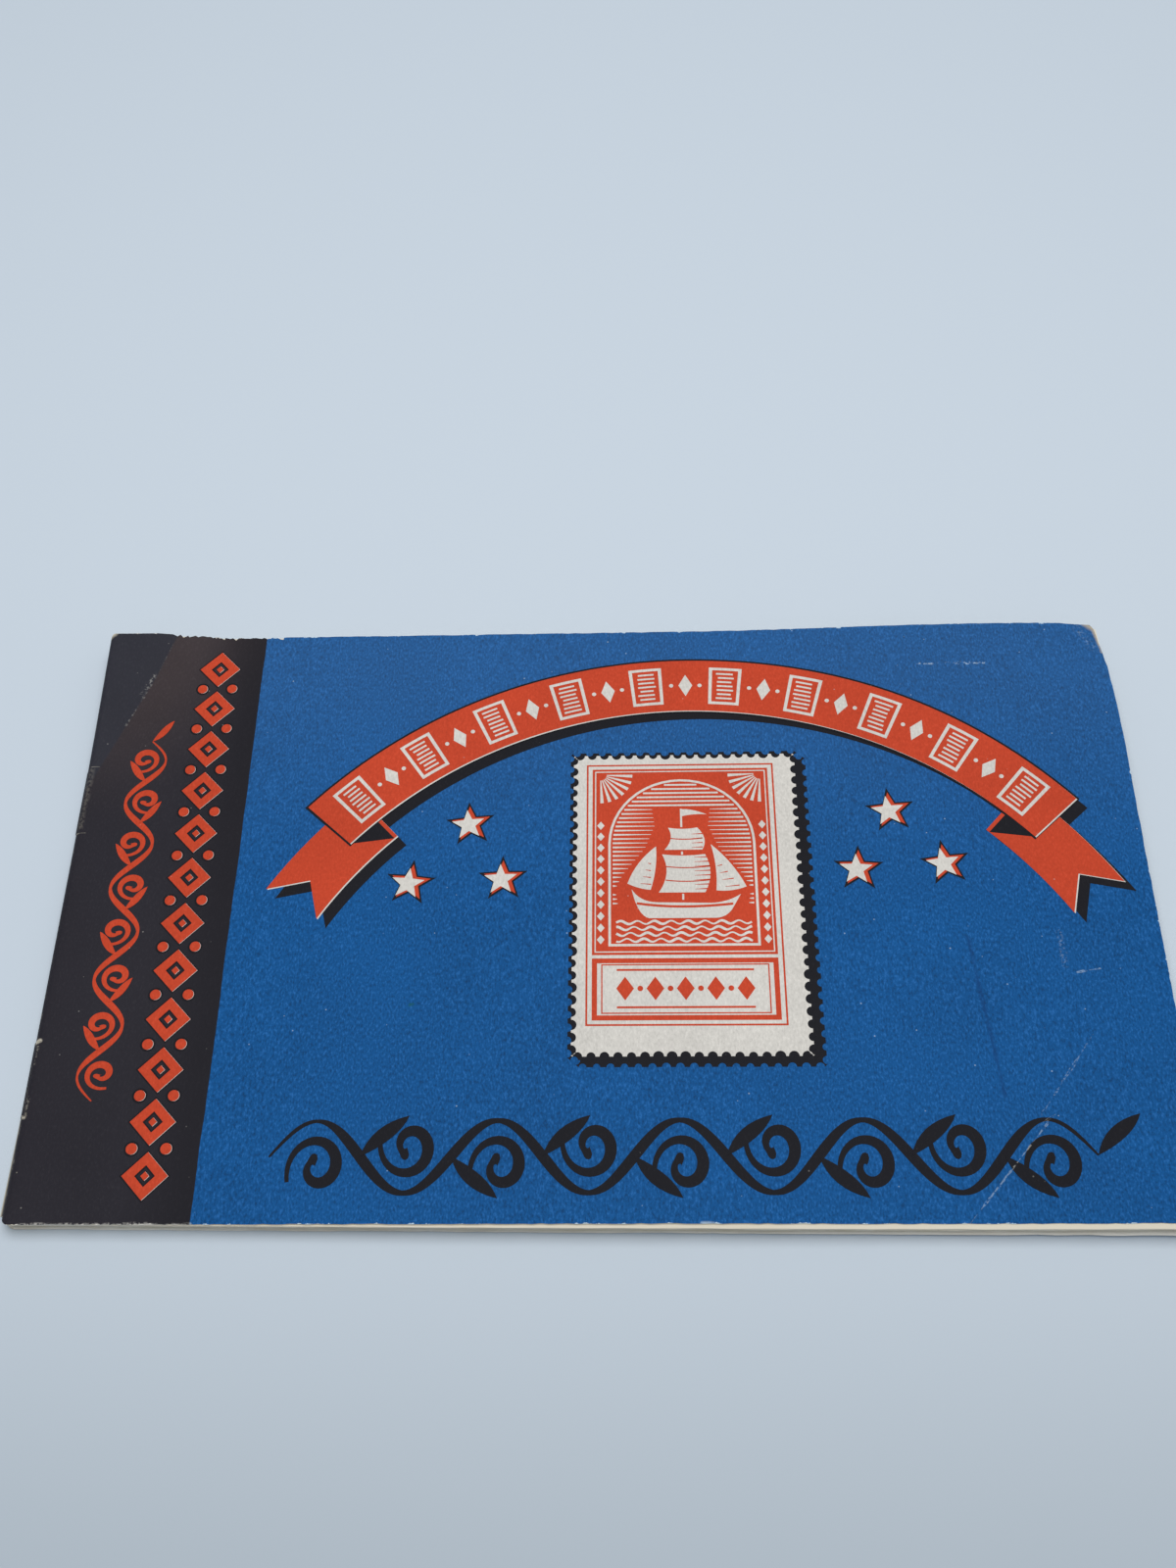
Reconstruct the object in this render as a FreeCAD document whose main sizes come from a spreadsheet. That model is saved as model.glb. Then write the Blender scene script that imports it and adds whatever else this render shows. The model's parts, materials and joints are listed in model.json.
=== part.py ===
"""Oblong soft-cover stamp album, saddle-stitched with two wire staples.

The album lies closed on its back cover. X runs from the spine to the fore edge, Y from the near edge to
the far edge, Z up. The origin is the bottom centre of the box around the closed album. All sizes are in mm.
"""
import FreeCAD
import Part
import Sketcher
import math
import os

from FreeCAD import Placement, Rotation, Vector

doc = FreeCAD.newDocument("stamp_album")

# Driving dimensions of the album
DIMENSIONS = [
    ("album_width", 216.0, "spine face to fore edge"),
    ("album_depth", 127.0, "near edge to far edge"),
    ("cover_thickness", 0.28, "card of the cover sheet"),
    ("leaf_thickness", 0.10, "paper of the inner sheets"),
    ("leaf_pitch", 0.14, "from one leaf to the next, with the air between"),
    ("cover_air", 0.04, "air between the cover and the outermost sheet"),
    ("gutter_radius", 0.33, "middle of the innermost fold, round the clinched wire"),
    ("spine_leg", 1.40, "flat strip of cover beside the rounded spine"),
    ("fold_leg", 1.70, "flat strip of each sheet beside its fold"),
    ("cover_start", 1.90, "hinge axis to the front cover's inner edge"),
    ("leaf_start", 2.40, "hinge axis to each leaf's inner edge"),
    ("corner_radius", 1.20, "worn corners of the fore edge"),
    ("fore_edge_lift", 1.20, "how far the loose stack rises at the fore edge"),
    ("leaf_skew", 0.90, "leaves past the front cover at the near fore-edge corner"),
    ("back_skew", 1.60, "back cover past the front cover at the same corner"),
    ("wire_diameter", 0.50, "staple wire"),
    ("wire_room", 0.02, "room between the wire and the paper"),
    ("wire_bend", 0.26, "bend radius at the middle of the wire"),
    ("staple_crown", 14.6, "length of a staple along the spine, leg to leg"),
    ("staple_clinch", 4.5, "length of each folded staple end"),
    ("staple_near_place", 27.2, "near edge to the middle of the near staple"),
    ("staple_far_place", 86.8, "near edge to the middle of the far staple"),
]
SHEET_COUNT = 8
LEAF_COUNT = 2 * SHEET_COUNT

sheet = doc.addObject("Spreadsheet::Sheet", "dims")
for row, (alias, value, note) in enumerate(DIMENSIONS, start=1):
    sheet.set(f"A{row}", note)
    sheet.set(f"B{row}", str(value))
    sheet.setAlias(f"B{row}", alias)
doc.recompute()

# Sizes that follow from the driving dimensions, for the placements
outer_fold = sheet.gutter_radius + (SHEET_COUNT - 1) * sheet.leaf_pitch
cover_inside = outer_fold + sheet.leaf_thickness / 2 + sheet.cover_air
spine_radius = cover_inside + sheet.cover_thickness
crown_offset = spine_radius + sheet.wire_room + sheet.wire_diameter / 2
lowest_x = -crown_offset - sheet.wire_diameter / 2
highest_x = sheet.album_width - spine_radius
hinge_x = -(lowest_x + highest_x) / 2
hinge_z = spine_radius
near_y = -(sheet.album_depth - sheet.back_skew) / 2
lift_angle = math.degrees(math.atan2(sheet.fore_edge_lift, sheet.album_width))

# The same sizes as expressions, for the sketches
COVER_INSIDE = (
    f"(dims.gutter_radius + {SHEET_COUNT - 1} * dims.leaf_pitch"
    " + dims.leaf_thickness / 2 + dims.cover_air)"
)
SPINE_RADIUS = f"({COVER_INSIDE} + dims.cover_thickness)"
CROWN_OFFSET = f"({SPINE_RADIUS} + dims.wire_room + dims.wire_diameter / 2)"

sub_parts = []


def new_body(label):
    """A body of its own for one sub-part."""
    body = doc.addObject("PartDesign::Body", label)
    body.Label = label
    sub_parts.append(body)
    return body


def new_sketch(body, name, plane):
    """A sketch on one of the body's own origin planes."""
    sketch = body.newObject("Sketcher::SketchObject", f"{body.Label}_{name}")
    support = next(f for f in body.Origin.OriginFeatures if f.Role == plane)
    sketch.AttachmentSupport = (support, "")
    sketch.MapMode = "FlatFace"
    return sketch


def size(expression):
    """The value of an expression in the sheet's sizes."""
    return float(sheet.evalExpression(expression))


def bind(sketch, kind, arguments, name, expression):
    """Add a named dimension to a sketch and bind it to the sheet."""
    index = sketch.addConstraint(Sketcher.Constraint(kind, *arguments, size(expression)))
    sketch.renameConstraint(index, name)
    sketch.setExpression(f"Constraints.{name}", expression)


def pad(body, sketch, expression):
    """Thicken a sketch by a length from the sheet."""
    feature = body.newObject("PartDesign::Pad", f"{body.Label}_pad")
    feature.Profile = sketch
    feature.setExpression("Length", expression)
    sketch.Visibility = False
    return feature


def round_fore_edge_corners(body, feature):
    """Round the two upright edges at the fore edge."""
    doc.recompute()
    upright = []
    for number, edge in enumerate(feature.Shape.Edges, start=1):
        box = edge.BoundBox
        if box.XLength < 1e-6 and box.YLength < 1e-6 and box.XMin > sheet.album_width / 2:
            upright.append(f"Edge{number}")
    fillet = body.newObject("PartDesign::Fillet", f"{body.Label}_corners")
    fillet.Base = (feature, upright)
    fillet.setExpression("Radius", "dims.corner_radius")


def make_panel(label, start, skew, thickness, height, tilt):
    """A flat panel of card or paper from its inner edge to the fore edge.

    Its sketch starts at the hinge axis and the near edge. The near and far edges run off square by the skew.
    """
    body = new_body(label)
    outline = new_sketch(body, "outline", "XY_Plane")
    end = f"dims.album_width - {SPINE_RADIUS}"
    corners = [
        Vector(size(start), 0, 0),
        Vector(size(end), -size(skew), 0),
        Vector(size(end), sheet.album_depth - size(skew), 0),
        Vector(size(start), sheet.album_depth, 0),
    ]
    for first in range(4):
        outline.addGeometry(Part.LineSegment(corners[first], corners[(first + 1) % 4]))
    for first in range(4):
        outline.addConstraint(Sketcher.Constraint("Coincident", first, 2, (first + 1) % 4, 1))
    outline.addConstraint(Sketcher.Constraint("Vertical", 1))
    outline.addConstraint(Sketcher.Constraint("Vertical", 3))
    outline.addConstraint(Sketcher.Constraint("Parallel", 0, 2))
    outline.addConstraint(Sketcher.Constraint("DistanceY", -1, 1, 0, 1, 0.0))
    bind(outline, "DistanceX", (-1, 1, 0, 1), "inner_edge", start)
    bind(outline, "DistanceX", (-1, 1, 0, 2), "fore_edge", end)
    bind(outline, "DistanceY", (3, 2, 3, 1), "depth", "dims.album_depth")
    if size(skew) == 0:
        outline.addConstraint(Sketcher.Constraint("Horizontal", 0))
    else:
        bind(outline, "DistanceY", (0, 2, 0, 1), "skew", skew)
    round_fore_edge_corners(body, pad(body, outline, thickness))
    body.Placement = Placement(
        Vector(hinge_x, near_y, hinge_z + height), Rotation(Vector(0, -1, 0), tilt)
    )
    return body


def make_fold(label, inside, outside, upper_leg, lower_leg):
    """A folded strip along the spine: a half round with a flat leg above and one below.

    Its section is drawn on the XZ plane and padded away from the near edge.
    """
    body = new_body(label)
    section = new_sketch(body, "section", "XZ_Plane")
    quarter = math.pi / 2
    centre = Vector(0, 0, 0)
    up = Vector(0, 0, 1)
    out, into = size(outside), size(inside)
    top, low = size(upper_leg), size(lower_leg)

    def arc(radius):
        return section.addGeometry(
            Part.ArcOfCircle(Part.Circle(centre, up, radius), quarter, 3 * quarter)
        )

    def line(x0, y0, x1, y1):
        return section.addGeometry(Part.LineSegment(Vector(x0, y0, 0), Vector(x1, y1, 0)))

    outer_arc = arc(out)
    inner_arc = arc(into)
    top_out = line(0, out, top, out)
    top_end = line(top, out, top, into)
    top_in = line(top, into, 0, into)
    low_in = line(0, -into, low, -into)
    low_end = line(low, -into, low, -out)
    low_out = line(low, -out, 0, -out)
    for half_round in (outer_arc, inner_arc):
        section.addConstraint(Sketcher.Constraint("Coincident", half_round, 3, -1, 1))
    tangent_ends = [
        (outer_arc, 1, top_out, 1),
        (outer_arc, 2, low_out, 2),
        (inner_arc, 1, top_in, 2),
        (inner_arc, 2, low_in, 1),
    ]
    for half_round, arc_end, leg, leg_end in tangent_ends:
        section.addConstraint(Sketcher.Constraint("Tangent", half_round, arc_end, leg, leg_end))
    corners = [(top_out, top_end), (top_end, top_in), (low_in, low_end), (low_end, low_out)]
    for first, second in corners:
        section.addConstraint(Sketcher.Constraint("Coincident", first, 2, second, 1))
    section.addConstraint(Sketcher.Constraint("Horizontal", top_out))
    section.addConstraint(Sketcher.Constraint("Horizontal", low_out))
    section.addConstraint(Sketcher.Constraint("Vertical", top_end))
    section.addConstraint(Sketcher.Constraint("Vertical", low_end))
    bind(section, "Radius", (outer_arc,), "outside", outside)
    bind(section, "Radius", (inner_arc,), "inside", inside)
    bind(section, "DistanceX", (top_out, 1, top_out, 2), "upper_leg", upper_leg)
    bind(section, "DistanceX", (low_out, 2, low_out, 1), "lower_leg", lower_leg)
    strip = pad(body, section, "dims.album_depth")
    strip.Reversed = True
    pierce_for_staples(body, strip)
    body.Placement = Placement(Vector(hinge_x, near_y, hinge_z), Rotation())
    return body


def pierce_for_staples(body, strip):
    """Cut the four holes that the staple legs go through."""
    doc.recompute()
    holes = new_sketch(body, "holes", "YZ_Plane")
    radius = "dims.wire_diameter / 2 + dims.wire_room"
    places = [
        f"dims.{place} {side} dims.staple_crown / 2"
        for place in ("staple_near_place", "staple_far_place")
        for side in ("-", "+")
    ]
    for number, place in enumerate(places):
        middle = Vector(size(place), 0, 0)
        hole = holes.addGeometry(Part.Circle(middle, Vector(0, 0, 1), size(radius)))
        holes.addConstraint(Sketcher.Constraint("PointOnObject", hole, 3, -1))
        bind(holes, "DistanceX", (-1, 1, hole, 3), f"place_{number}", place)
        bind(holes, "Radius", (hole,), f"radius_{number}", radius)
    before = strip.Shape.Volume
    pocket = body.newObject("PartDesign::Pocket", f"{body.Label}_holes_cut")
    pocket.Profile = holes
    pocket.Type = "ThroughAll"
    holes.Visibility = False
    doc.recompute()
    if pocket.Shape.Volume >= before:
        raise RuntimeError(f"{body.Label}: the staple holes cut nothing")


def make_staple(label, place):
    """A bent wire: the crown outside the spine, two legs through the fold, and the ends folded flat inside.

    The wire's middle lies in the body's XY plane, with Y measured from the end of the first folded end.
    """
    body = new_body(label)
    path = new_sketch(body, "path", "XY_Plane")
    bend = sheet.wire_bend
    crown_x = -crown_offset
    inside_x = 0.0
    first_leg = -sheet.staple_clinch
    second_leg = first_leg + sheet.staple_crown
    quarter = math.pi / 2
    up = Vector(0, 0, 1)

    def line(x0, y0, x1, y1):
        return path.addGeometry(Part.LineSegment(Vector(x0, y0, 0), Vector(x1, y1, 0)))

    def arc(x, y, turn):
        circle = Part.Circle(Vector(x, y, 0), up, bend)
        return path.addGeometry(Part.ArcOfCircle(circle, turn * quarter, (turn + 1) * quarter))

    first_end = line(inside_x, 0, inside_x, first_leg + bend)
    first_turn = arc(inside_x - bend, first_leg + bend, 3)
    leg_one = line(inside_x - bend, first_leg, crown_x + bend, first_leg)
    crown_turn_one = arc(crown_x + bend, first_leg + bend, 2)
    crown = line(crown_x, first_leg + bend, crown_x, second_leg - bend)
    crown_turn_two = arc(crown_x + bend, second_leg - bend, 1)
    leg_two = line(crown_x + bend, second_leg, inside_x - bend, second_leg)
    last_turn = arc(inside_x - bend, second_leg - bend, 0)
    last_end = line(inside_x, second_leg - bend, inside_x, second_leg - sheet.staple_clinch)
    tangent_ends = [
        (first_end, 2, first_turn, 2),
        (first_turn, 1, leg_one, 1),
        (leg_one, 2, crown_turn_one, 2),
        (crown_turn_one, 1, crown, 1),
        (crown, 2, crown_turn_two, 2),
        (crown_turn_two, 1, leg_two, 1),
        (leg_two, 2, last_turn, 2),
        (last_turn, 1, last_end, 1),
    ]
    for one, one_end, other, other_end in tangent_ends:
        path.addConstraint(Sketcher.Constraint("Tangent", one, one_end, other, other_end))
    for upright in (first_end, crown, last_end):
        path.addConstraint(Sketcher.Constraint("Vertical", upright))
    path.addConstraint(Sketcher.Constraint("Coincident", first_end, 1, -1, 1))
    path.addConstraint(Sketcher.Constraint("Equal", first_end, last_end))
    for turn in (crown_turn_one, crown_turn_two, last_turn):
        path.addConstraint(Sketcher.Constraint("Equal", first_turn, turn))
    bind(path, "Radius", (first_turn,), "bend", "dims.wire_bend")
    bind(path, "DistanceX", (crown, 1, -1, 1), "crown_offset", CROWN_OFFSET)
    bind(path, "DistanceY", (leg_one, 1, -1, 1), "clinch", "dims.staple_clinch")
    bind(path, "DistanceY", (leg_one, 1, leg_two, 1), "crown", "dims.staple_crown")
    section = new_sketch(body, "section", "XZ_Plane")
    circle = section.addGeometry(Part.Circle(Vector(0, 0, 0), up, sheet.wire_diameter / 2))
    section.addConstraint(Sketcher.Constraint("Coincident", circle, 3, -1, 1))
    bind(section, "Diameter", (circle,), "wire", "dims.wire_diameter")
    doc.recompute()
    wire = body.newObject("PartDesign::AdditivePipe", f"{label}_wire")
    wire.Profile = section
    wire.Spine = path
    path.Visibility = False
    section.Visibility = False
    start = getattr(sheet, place) - sheet.staple_crown / 2 + sheet.staple_clinch
    body.Placement = Placement(Vector(hinge_x, near_y + start, hinge_z), Rotation())
    return body


# The cover sheet in its three stretches: front panel, spine and back panel
make_panel("front_cover", "dims.cover_start", "0", "dims.cover_thickness", cover_inside, lift_angle)
make_fold("cover_spine", COVER_INSIDE, SPINE_RADIUS, "dims.spine_leg", "dims.spine_leg")
make_panel("back_cover", "dims.spine_leg", "dims.back_skew", "dims.cover_thickness", -spine_radius, 0)

# The folded strips of the inner sheets, outermost first
for number in range(1, SHEET_COUNT + 1):
    middle = f"(dims.gutter_radius + {SHEET_COUNT - number} * dims.leaf_pitch)"
    make_fold(
        f"sheet_{number}_fold",
        f"{middle} - dims.leaf_thickness / 2",
        f"{middle} + dims.leaf_thickness / 2",
        "dims.fold_leg",
        "dims.fold_leg",
    )

# The leaves, from the one under the front cover down to the one on the back cover
for number in range(1, LEAF_COUNT + 1):
    steps_from_gutter = SHEET_COUNT - number if number <= SHEET_COUNT else number - SHEET_COUNT - 1
    side = 1 if number <= SHEET_COUNT else -1
    middle = side * (sheet.gutter_radius + steps_from_gutter * sheet.leaf_pitch)
    share_of_lift = 1 - number / (LEAF_COUNT + 1)
    make_panel(
        f"leaf_{number:02d}",
        "dims.leaf_start",
        "dims.leaf_skew",
        "dims.leaf_thickness",
        middle - sheet.leaf_thickness / 2,
        lift_angle * share_of_lift,
    )

# The two staples
make_staple("staple_near", "staple_near_place")
make_staple("staple_far", "staple_far_place")

# Nothing is written unless every object and every solid is sound
doc.recompute()
for item in doc.Objects:
    if "Invalid" in item.State or "Error" in item.State:
        raise RuntimeError(f"{item.Name} failed: {item.State}")
for body in sub_parts:
    if body.Shape.isNull() or not body.Shape.isValid() or not body.Shape.Solids:
        raise RuntimeError(f"{body.Label} has no sound solid")

os.makedirs("parts", exist_ok=True)
for body in sub_parts:
    body.Shape.exportStep(f"parts/{body.Label}.step")
crease_x = hinge_x + (sheet.spine_leg + sheet.cover_start) / 2
print(f"{len(sub_parts)} sub-parts")
print(f"leaves turn about x {hinge_x:.3f}, z {hinge_z:.3f}")
print(f"the front cover's crease is at x {crease_x:.3f}, on top of the spine at z {2 * spine_radius:.3f}")
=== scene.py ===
# %% [markdown]
# # A stapled stamp album
# The album is an oblong booklet: one printed card cover and eight paper sheets, folded together and held by
# two wire staples in the short left edge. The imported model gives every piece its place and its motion. This
# lesson gives the pieces their looks: curled card, worn print, yellowed leaves and dull wire. Blender works
# in metres, and `MM` turns a size in millimetres into metres.

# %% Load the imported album
import json
import math
import random

import bmesh
import bpy
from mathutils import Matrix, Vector


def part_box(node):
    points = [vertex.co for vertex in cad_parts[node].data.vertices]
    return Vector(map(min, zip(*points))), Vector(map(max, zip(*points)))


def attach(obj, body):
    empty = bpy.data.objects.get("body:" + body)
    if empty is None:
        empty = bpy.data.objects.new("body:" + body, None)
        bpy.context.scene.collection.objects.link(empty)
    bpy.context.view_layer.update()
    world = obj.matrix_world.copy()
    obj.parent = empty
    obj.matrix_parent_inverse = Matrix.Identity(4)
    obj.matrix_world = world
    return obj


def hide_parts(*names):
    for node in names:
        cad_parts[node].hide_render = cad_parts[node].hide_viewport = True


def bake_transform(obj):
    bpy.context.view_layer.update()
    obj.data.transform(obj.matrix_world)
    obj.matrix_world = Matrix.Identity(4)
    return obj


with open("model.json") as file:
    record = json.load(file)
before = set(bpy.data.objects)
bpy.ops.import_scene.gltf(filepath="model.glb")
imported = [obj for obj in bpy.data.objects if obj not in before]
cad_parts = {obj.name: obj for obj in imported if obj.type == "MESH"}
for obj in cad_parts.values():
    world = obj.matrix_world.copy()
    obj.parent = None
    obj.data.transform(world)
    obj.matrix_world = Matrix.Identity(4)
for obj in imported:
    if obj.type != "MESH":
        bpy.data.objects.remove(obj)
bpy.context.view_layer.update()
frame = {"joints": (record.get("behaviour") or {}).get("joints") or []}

MM = 0.001

# %% [markdown]
# ## Sizes that everything else is worked out from
# The card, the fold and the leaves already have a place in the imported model, so their edges are read from
# its nodes. The fold axis is the hinge of the first leaf: the spine and every sheet bend round it.

# %% Read the places of the card and the fold
spine_low, spine_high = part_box("cover_spine")
SPINE_X, NEAR_Y, BASE_Z = spine_low
CREASE_X, FAR_Y, CARD_TOP = spine_high
FORE_X, _, FORE_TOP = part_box("front_cover")[1]
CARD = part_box("back_cover")[1][2] - BASE_Z
hinge = next(joint for joint in frame["joints"] if joint["name"] == "leaf_01_turn")
FOLD_X, _, FOLD_Z = hinge["pos_m"]
LEAF = 0.10 * MM
BAND_WIDTH = 34.8 * MM
BAND_X = SPINE_X + BAND_WIDTH
OVERHANG = 0.5 * MM
COVER_FORE_X = FORE_X + OVERHANG
print("card", round(CARD / MM, 2), "mm thick, fold axis at", round(FOLD_X / MM, 2), round(FOLD_Z / MM, 2))

# %% [markdown]
# ## Camera
# The album was photographed from in front and above, with its near right corner just out of the picture. A
# camera can be aimed by eye, or solved from lines that are straight on the object. Here the four edges of
# the cover gave its place, turn and focal length.

# %% Place the camera
CAMERA_PLACE = (6.27 * MM, -122.68 * MM, 272.54 * MM)
CAMERA_TURN = (29.044, 1.624, 0.315)
CAMERA_LENS = 34.2

bpy.ops.object.select_all(action="DESELECT")
bpy.ops.object.camera_add(location=CAMERA_PLACE, rotation=[math.radians(turn) for turn in CAMERA_TURN])
camera = bpy.context.object
camera.data.lens = CAMERA_LENS
camera.data.sensor_width = 36
camera.data.clip_start = 1 * MM
bpy.context.scene.camera = camera
print("camera", round(camera.location.length, 3), "m from the middle of the album")

# %% [markdown]
# ## Node helpers
# Materials are built from nodes in code. A few small helpers keep that readable: they add a node, fill its
# sockets by name, or add one step of arithmetic. Each socket takes either a plain value or a link.

# %% Helpers that add nodes
def plug(tree, value, socket):
    """Link a socket to a socket, or write a plain value into it."""
    if isinstance(value, bpy.types.NodeSocket):
        tree.links.new(value, socket)
    else:
        socket.default_value = value


def add_node(tree, kind, settings=None, **inputs):
    """Add a node, set its options and fill its inputs, whose names have _ for a space."""
    made = tree.nodes.new(kind)
    for option, value in (settings or {}).items():
        setattr(made, option, value)
    for name, value in inputs.items():
        plug(tree, value, made.inputs[name.replace("_", " ")])
    return made


def calc(tree, operation, *values, clamp=False):
    """Add one Math node and give back its result."""
    made = tree.nodes.new("ShaderNodeMath")
    made.operation = operation
    made.use_clamp = clamp
    for value, socket in zip(values, made.inputs):
        plug(tree, value, socket)
    return made.outputs[0]


def vector_calc(tree, operation, first, second, result="Vector"):
    """Add one Vector Math node and give back the named result."""
    made = tree.nodes.new("ShaderNodeVectorMath")
    made.operation = operation
    plug(tree, first, made.inputs[0])
    plug(tree, second, made.inputs[1])
    return made.outputs[result]


def soft_step(tree, value, low, high):
    """A mask that is 0 below low, 1 above high and smooth between them."""
    made = add_node(tree, "ShaderNodeMapRange", {"interpolation_type": "SMOOTHSTEP"},
                    Value=value, From_Min=low, From_Max=high)
    return made.outputs[0]


def noise(tree, place, scale, detail=3.0, roughness=0.55):
    """Grey noise that changes about scale times in a millimetre."""
    return add_node(tree, "ShaderNodeTexNoise", Vector=place, Scale=scale, Detail=detail,
                    Roughness=roughness).outputs[0]


def mix_colour(tree, factor, first, second, blend="MIX"):
    """Mix two colours by a mask."""
    made = tree.nodes.new("ShaderNodeMix")
    made.data_type = "RGBA"
    made.blend_type = blend
    plug(tree, factor, made.inputs[0])
    plug(tree, first, made.inputs[6])
    plug(tree, second, made.inputs[7])
    return made.outputs[2]


def new_group(name, inputs, outputs):
    """Start a shader node group with named sockets, each a pair of a name and a kind."""
    tree = bpy.data.node_groups.new(name, "ShaderNodeTree")
    kinds = {"value": "NodeSocketFloat", "colour": "NodeSocketColor", "vector": "NodeSocketVector"}
    for socket, kind in inputs:
        tree.interface.new_socket(socket, in_out="INPUT", socket_type=kinds[kind])
    for socket, kind in outputs:
        tree.interface.new_socket(socket, in_out="OUTPUT", socket_type=kinds[kind])
    return tree, tree.nodes.new("NodeGroupInput").outputs, tree.nodes.new("NodeGroupOutput").inputs


def use_group(tree, group, **inputs):
    """Place a node group in a material and fill its inputs."""
    made = tree.nodes.new("ShaderNodeGroup")
    made.node_tree = group
    for name, value in inputs.items():
        plug(tree, value, made.inputs[name.replace("_", " ")])
    return made.outputs


def new_material(name, specular):
    """A material with its Principled shader, whose gloss is the same all over."""
    material = bpy.data.materials.new(name)
    material.use_nodes = True
    tree = material.node_tree
    shader = tree.nodes["Principled BSDF"]
    shader.inputs["Specular IOR Level"].default_value = specular
    return material, tree, shader


def finish_surface(tree, shader, base, roughness, height, depth):
    """Link colour, roughness and a bump of the given depth in metres to the shader."""
    plug(tree, base, shader.inputs["Base Color"])
    plug(tree, roughness, shader.inputs["Roughness"])
    bump = add_node(tree, "ShaderNodeBump", Height=height, Distance=depth)
    tree.links.new(bump.outputs[0], shader.inputs["Normal"])


def colour(red, green, blue):
    """A colour as it looks on a screen, 0 to 255, turned into the linear values that nodes use."""
    def linear(level):
        level /= 255
        return level / 12.92 if level <= 0.04045 else ((level + 0.055) / 1.055) ** 2.4
    return (linear(red), linear(green), linear(blue), 1)


def place_in_mm(tree):
    """The place on the piece, in millimetres of the album's own frame."""
    where = add_node(tree, "ShaderNodeTexCoord").outputs["Object"]
    scaled = add_node(tree, "ShaderNodeVectorMath", {"operation": "SCALE"}, Vector=where, Scale=1 / MM)
    return scaled.outputs[0]


print("node helpers ready")

# %% [markdown]
# ## Ink on card
# Every printed surface on the cover is flat ink on rough, uncoated card. Close up it is never even: the ink
# is mottled at the scale of the card's fibres, tiny specks of bare card show through, and worn places lose
# their ink altogether. One node group makes that for any ink, and each material places it with its own
# colours.

# %% Ink that lies unevenly on card
def build_ink_group():
    tree, given, result = new_group(
        "ink_on_card",
        [("Ink", "colour"), ("Card", "colour"), ("Mottle", "value"), ("Specks", "value"), ("Bare", "value")],
        [("Color", "colour"), ("Roughness", "value"), ("Height", "value")])
    place = place_in_mm(tree)
    stretched = add_node(tree, "ShaderNodeMapping", Vector=place, Scale=(1.0, 0.5, 1.0)).outputs[0]
    fibres = noise(tree, stretched, 2.7, 2.0, 0.6)
    clouds = noise(tree, place, 0.05)
    thin = calc(tree, "MULTIPLY", soft_step(tree, fibres, 0.5, 0.75), given["Mottle"])
    pooled = calc(tree, "MULTIPLY", soft_step(tree, fibres, 0.52, 0.25), given["Mottle"])
    shade = calc(tree, "MULTIPLY_ADD", clouds, 0.3, 0.85)
    shade = calc(tree, "MULTIPLY_ADD", thin, 0.5, shade)
    shade = calc(tree, "MULTIPLY_ADD", pooled, -0.45, shade)
    mottled = mix_colour(tree, 1.0, given["Ink"], shade, "MULTIPLY")
    mottled = mix_colour(tree, calc(tree, "MULTIPLY", thin, 0.035), mottled, given["Card"])
    cells = add_node(tree, "ShaderNodeTexVoronoi", Vector=place, Scale=0.5)
    chance = add_node(tree, "ShaderNodeSeparateColor", Color=cells.outputs["Color"]).outputs[0]
    size = calc(tree, "MULTIPLY", soft_step(tree, chance, 0.72, 1.0), 0.085)
    inside = soft_step(tree, calc(tree, "SUBTRACT", size, cells.outputs["Distance"]), -0.02, 0.03)
    specks = calc(tree, "MULTIPLY", inside, given["Specks"], clamp=True)
    lost = calc(tree, "MAXIMUM", specks, given["Bare"], clamp=True)
    tree.links.new(mix_colour(tree, lost, mottled, given["Card"]), result["Color"])
    shine = calc(tree, "MULTIPLY_ADD", fibres, 0.16, 0.48)
    tree.links.new(calc(tree, "MULTIPLY_ADD", lost, 0.25, shine, clamp=True), result["Roughness"])
    tree.links.new(calc(tree, "SUBTRACT", fibres, calc(tree, "MULTIPLY", lost, 0.4)), result["Height"])
    return tree


ink_on_card = build_ink_group()
print("ink group has", len(ink_on_card.nodes), "nodes")

# %% [markdown]
# ## Marks of wear
# A crease or a scuff follows a line on the cover, so the mask for one is the distance to a line from one
# point to another, broken up by noise. Chipped edges follow the outline: their mask is the distance to the
# nearest cut edge, compared with noise, so that the chips come and go.

# %% Rubbed lines and chipped edges
def build_line_group():
    tree, given, result = new_group(
        "rubbed_line",
        [("Place", "vector"), ("Start", "vector"), ("End", "vector"), ("Width", "value"),
         ("Broken", "value")],
        [("Mask", "value")])
    flat = vector_calc(tree, "MULTIPLY", given["Place"], (1, 1, 0))
    along = vector_calc(tree, "SUBTRACT", given["End"], given["Start"])
    reach = vector_calc(tree, "SUBTRACT", flat, given["Start"])
    share = calc(tree, "DIVIDE", vector_calc(tree, "DOT_PRODUCT", reach, along, "Value"),
                 vector_calc(tree, "DOT_PRODUCT", along, along, "Value"), clamp=True)
    foot = add_node(tree, "ShaderNodeVectorMath", {"operation": "SCALE"}, Vector=along,
                    Scale=share).outputs[0]
    wander = calc(tree, "MULTIPLY", calc(tree, "SUBTRACT", noise(tree, flat, 0.3), 0.5), 1.2)
    gap = calc(tree, "ADD", vector_calc(tree, "DISTANCE", reach, foot, "Value"), wander)
    near = calc(tree, "DIVIDE", calc(tree, "ABSOLUTE", gap), given["Width"])
    near = calc(tree, "SUBTRACT", 1.0, near, clamp=True)
    crumbs = calc(tree, "SUBTRACT", noise(tree, flat, 1.6), calc(tree, "MULTIPLY", given["Broken"], 0.3))
    tree.links.new(calc(tree, "MULTIPLY", near, soft_step(tree, crumbs, 0.2, 0.36)), result["Mask"])
    return tree


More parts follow.
